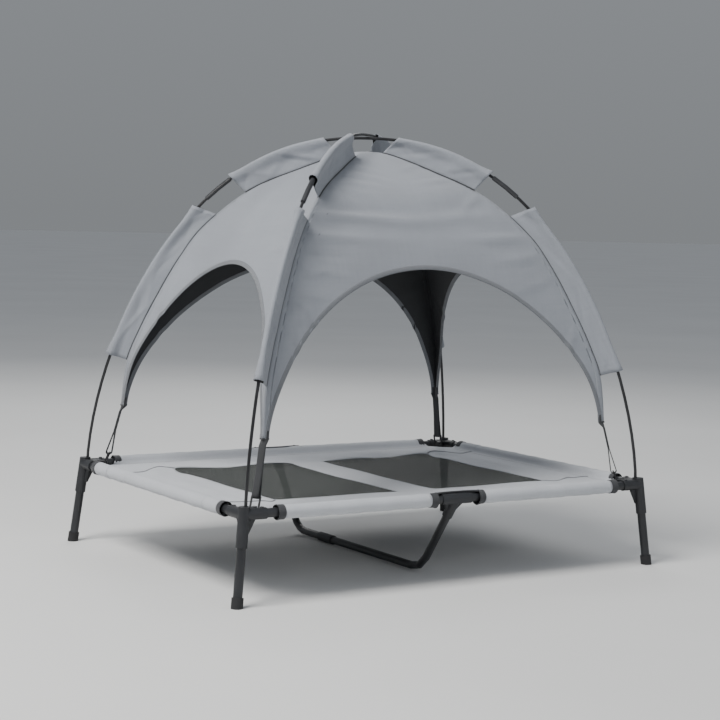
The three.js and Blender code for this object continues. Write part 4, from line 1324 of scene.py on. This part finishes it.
def cover_stitch_rows():
    loops = [window_loop(side, WINDOW_STITCH_INSET) for side in (-1, 1)]
    lines = [np.concatenate([loop, loop[:1]]) for loop in loops]
    x_end, y_end = HALF_LENGTH - SLEEVE_END, HALF_WIDTH - SLEEVE_END
    for sign in (-1, 1):
        for inset in RAIL_STITCH_INSETS:
            x, y = sign * (HALF_LENGTH - inset), sign * (HALF_WIDTH - inset)
            lines.append(resample([(-x_end, y), (x_end, y)], SEAM_STEP))
            lines.append(resample([(x, -y_end), (x, y_end)], SEAM_STEP))
    lines += [resample(np.asarray(line) + (0, 0.004), SEAM_STEP) for line in corner_seams()]
    return [(cover_line(line), np.tile((0.0, 0.0, 1.0), (len(line), 1))) for line in lines]


def make_mouth_rings(materials):
    """Ribbed webbing round every mouth of the rail sleeves, with a rolled lip at the open end."""
    full, part = (0, math.tau), (math.radians(12), math.radians(262))
    # Where each ring starts and ends from the middle: long side or not, inner, outer, and its turn.
    kinds = (
        (True, HALF_LENGTH - SLEEVE_END - MOUTH_LAP, HALF_LENGTH - MOUTH, full),
        (True, MIDDLE_SLEEVE_END + MOUTH_LAP, MIDDLE_MOUTH, part),
        (False, HALF_WIDTH - SLEEVE_END - MOUTH_LAP, HALF_WIDTH - MOUTH, full),
    )
    # Share of the way to the mouth, and radius there. The last points turn back inside.
    section = ((0, 0.0166), (0.05, 0.0176), (0.35, 0.0176), (0.7, 0.0178), (0.92, 0.0184), (1.0, 0.0180),
               (1.02, 0.0172), (0.97, 0.0164), (0.6, 0.0163), (0.2, 0.0163))
    sides = 36
    rings = Patches()
    for sign, end, (is_long, near, far, (low, high)) in product((-1, 1), (-1, 1), kinds):
        inner, outer = end * near, end * far
        rows, uv = [], []
        for share, radius in section:
            along = inner + (outer - inner) * share
            flare = 0.10 * share**2 * (high - low < math.tau)
            angles = [low + (high - low) * turn / sides for turn in range(sides + 1)]
            girth = [radius * (1 + 0.008 * math.sin(angle * 5) + flare) for angle in angles]
            rows.append([on_rail(is_long, sign, along, -r * math.sin(angle), r * math.cos(angle))
                         for r, angle in zip(girth, angles)])
            uv.append([(share * abs(outer - inner), angle * radius) for angle in angles])
        rings.add(rows, uv, turn=(outer > inner) == (is_long == (sign > 0)))
    return rings.piece("mouth_bindings", materials["binding"])


def ride_all(pieces, body):
    for piece in pieces:
        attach(piece, body)


def build_canopy(materials):
    canopy = make_canopy(materials)
    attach(canopy, "canopy")
    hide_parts("canopy_dome")
    hems = make_arch_hems(materials)
    tips = make_tongue_tips(materials)
    sleeves = []
    rows = []
    for number, place in enumerate(CORNERS):
        # The second value is the dark piping's thickness: partly dark thread, and partly a painted shadow
        # line, wider under the upper sleeves.
        for kind, thickness in (("upper", 0.0022), ("lower", 0.0012)):
            points = make_sleeve(place, kind, number + (2.5 if kind == "upper" else 0), materials)
            sleeves.append((points, thickness))
            rows += sleeve_stitch_rows(points)
    shadow_piping = make_seam_shadow_piping(sleeves, materials)
    stitches = stitch_mesh("canopy_stitches", arch_stitches() + ridge_stitches(), materials["grey_thread"])
    sleeve_stitches = stitch_mesh("sleeve_stitches", rows, materials["grey_thread"])
    ride_all([hems, stitches, sleeve_stitches], "canopy")
    ride_all([tips, shadow_piping], "canopy")
    for place in CORNERS:
        make_band(place, materials)


def build_cover(materials):
    cover = make_cover(materials)
    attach(cover, "frame")
    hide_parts("bed_cover")
    seams = tape("cover_seams", corner_seams(), 0.0024, 0.0014, materials["hem"])
    tee_bindings = make_tee_bindings(materials)
    rings = make_mouth_rings(materials)
    stitches = stitch_mesh("cover_stitches", cover_stitch_rows(), materials["pale_thread"])
    round_seams = rail_seams(materials)
    ride_all([seams, round_seams, stitches], "frame")
    ride_all([tee_bindings, rings], "frame")
    for side in (-1, 1):
        make_net(side, materials)


make_camera()
make_studio()
all_materials = make_materials()
finish_frame_nodes(all_materials)
build_canopy(all_materials)
build_cover(all_materials)
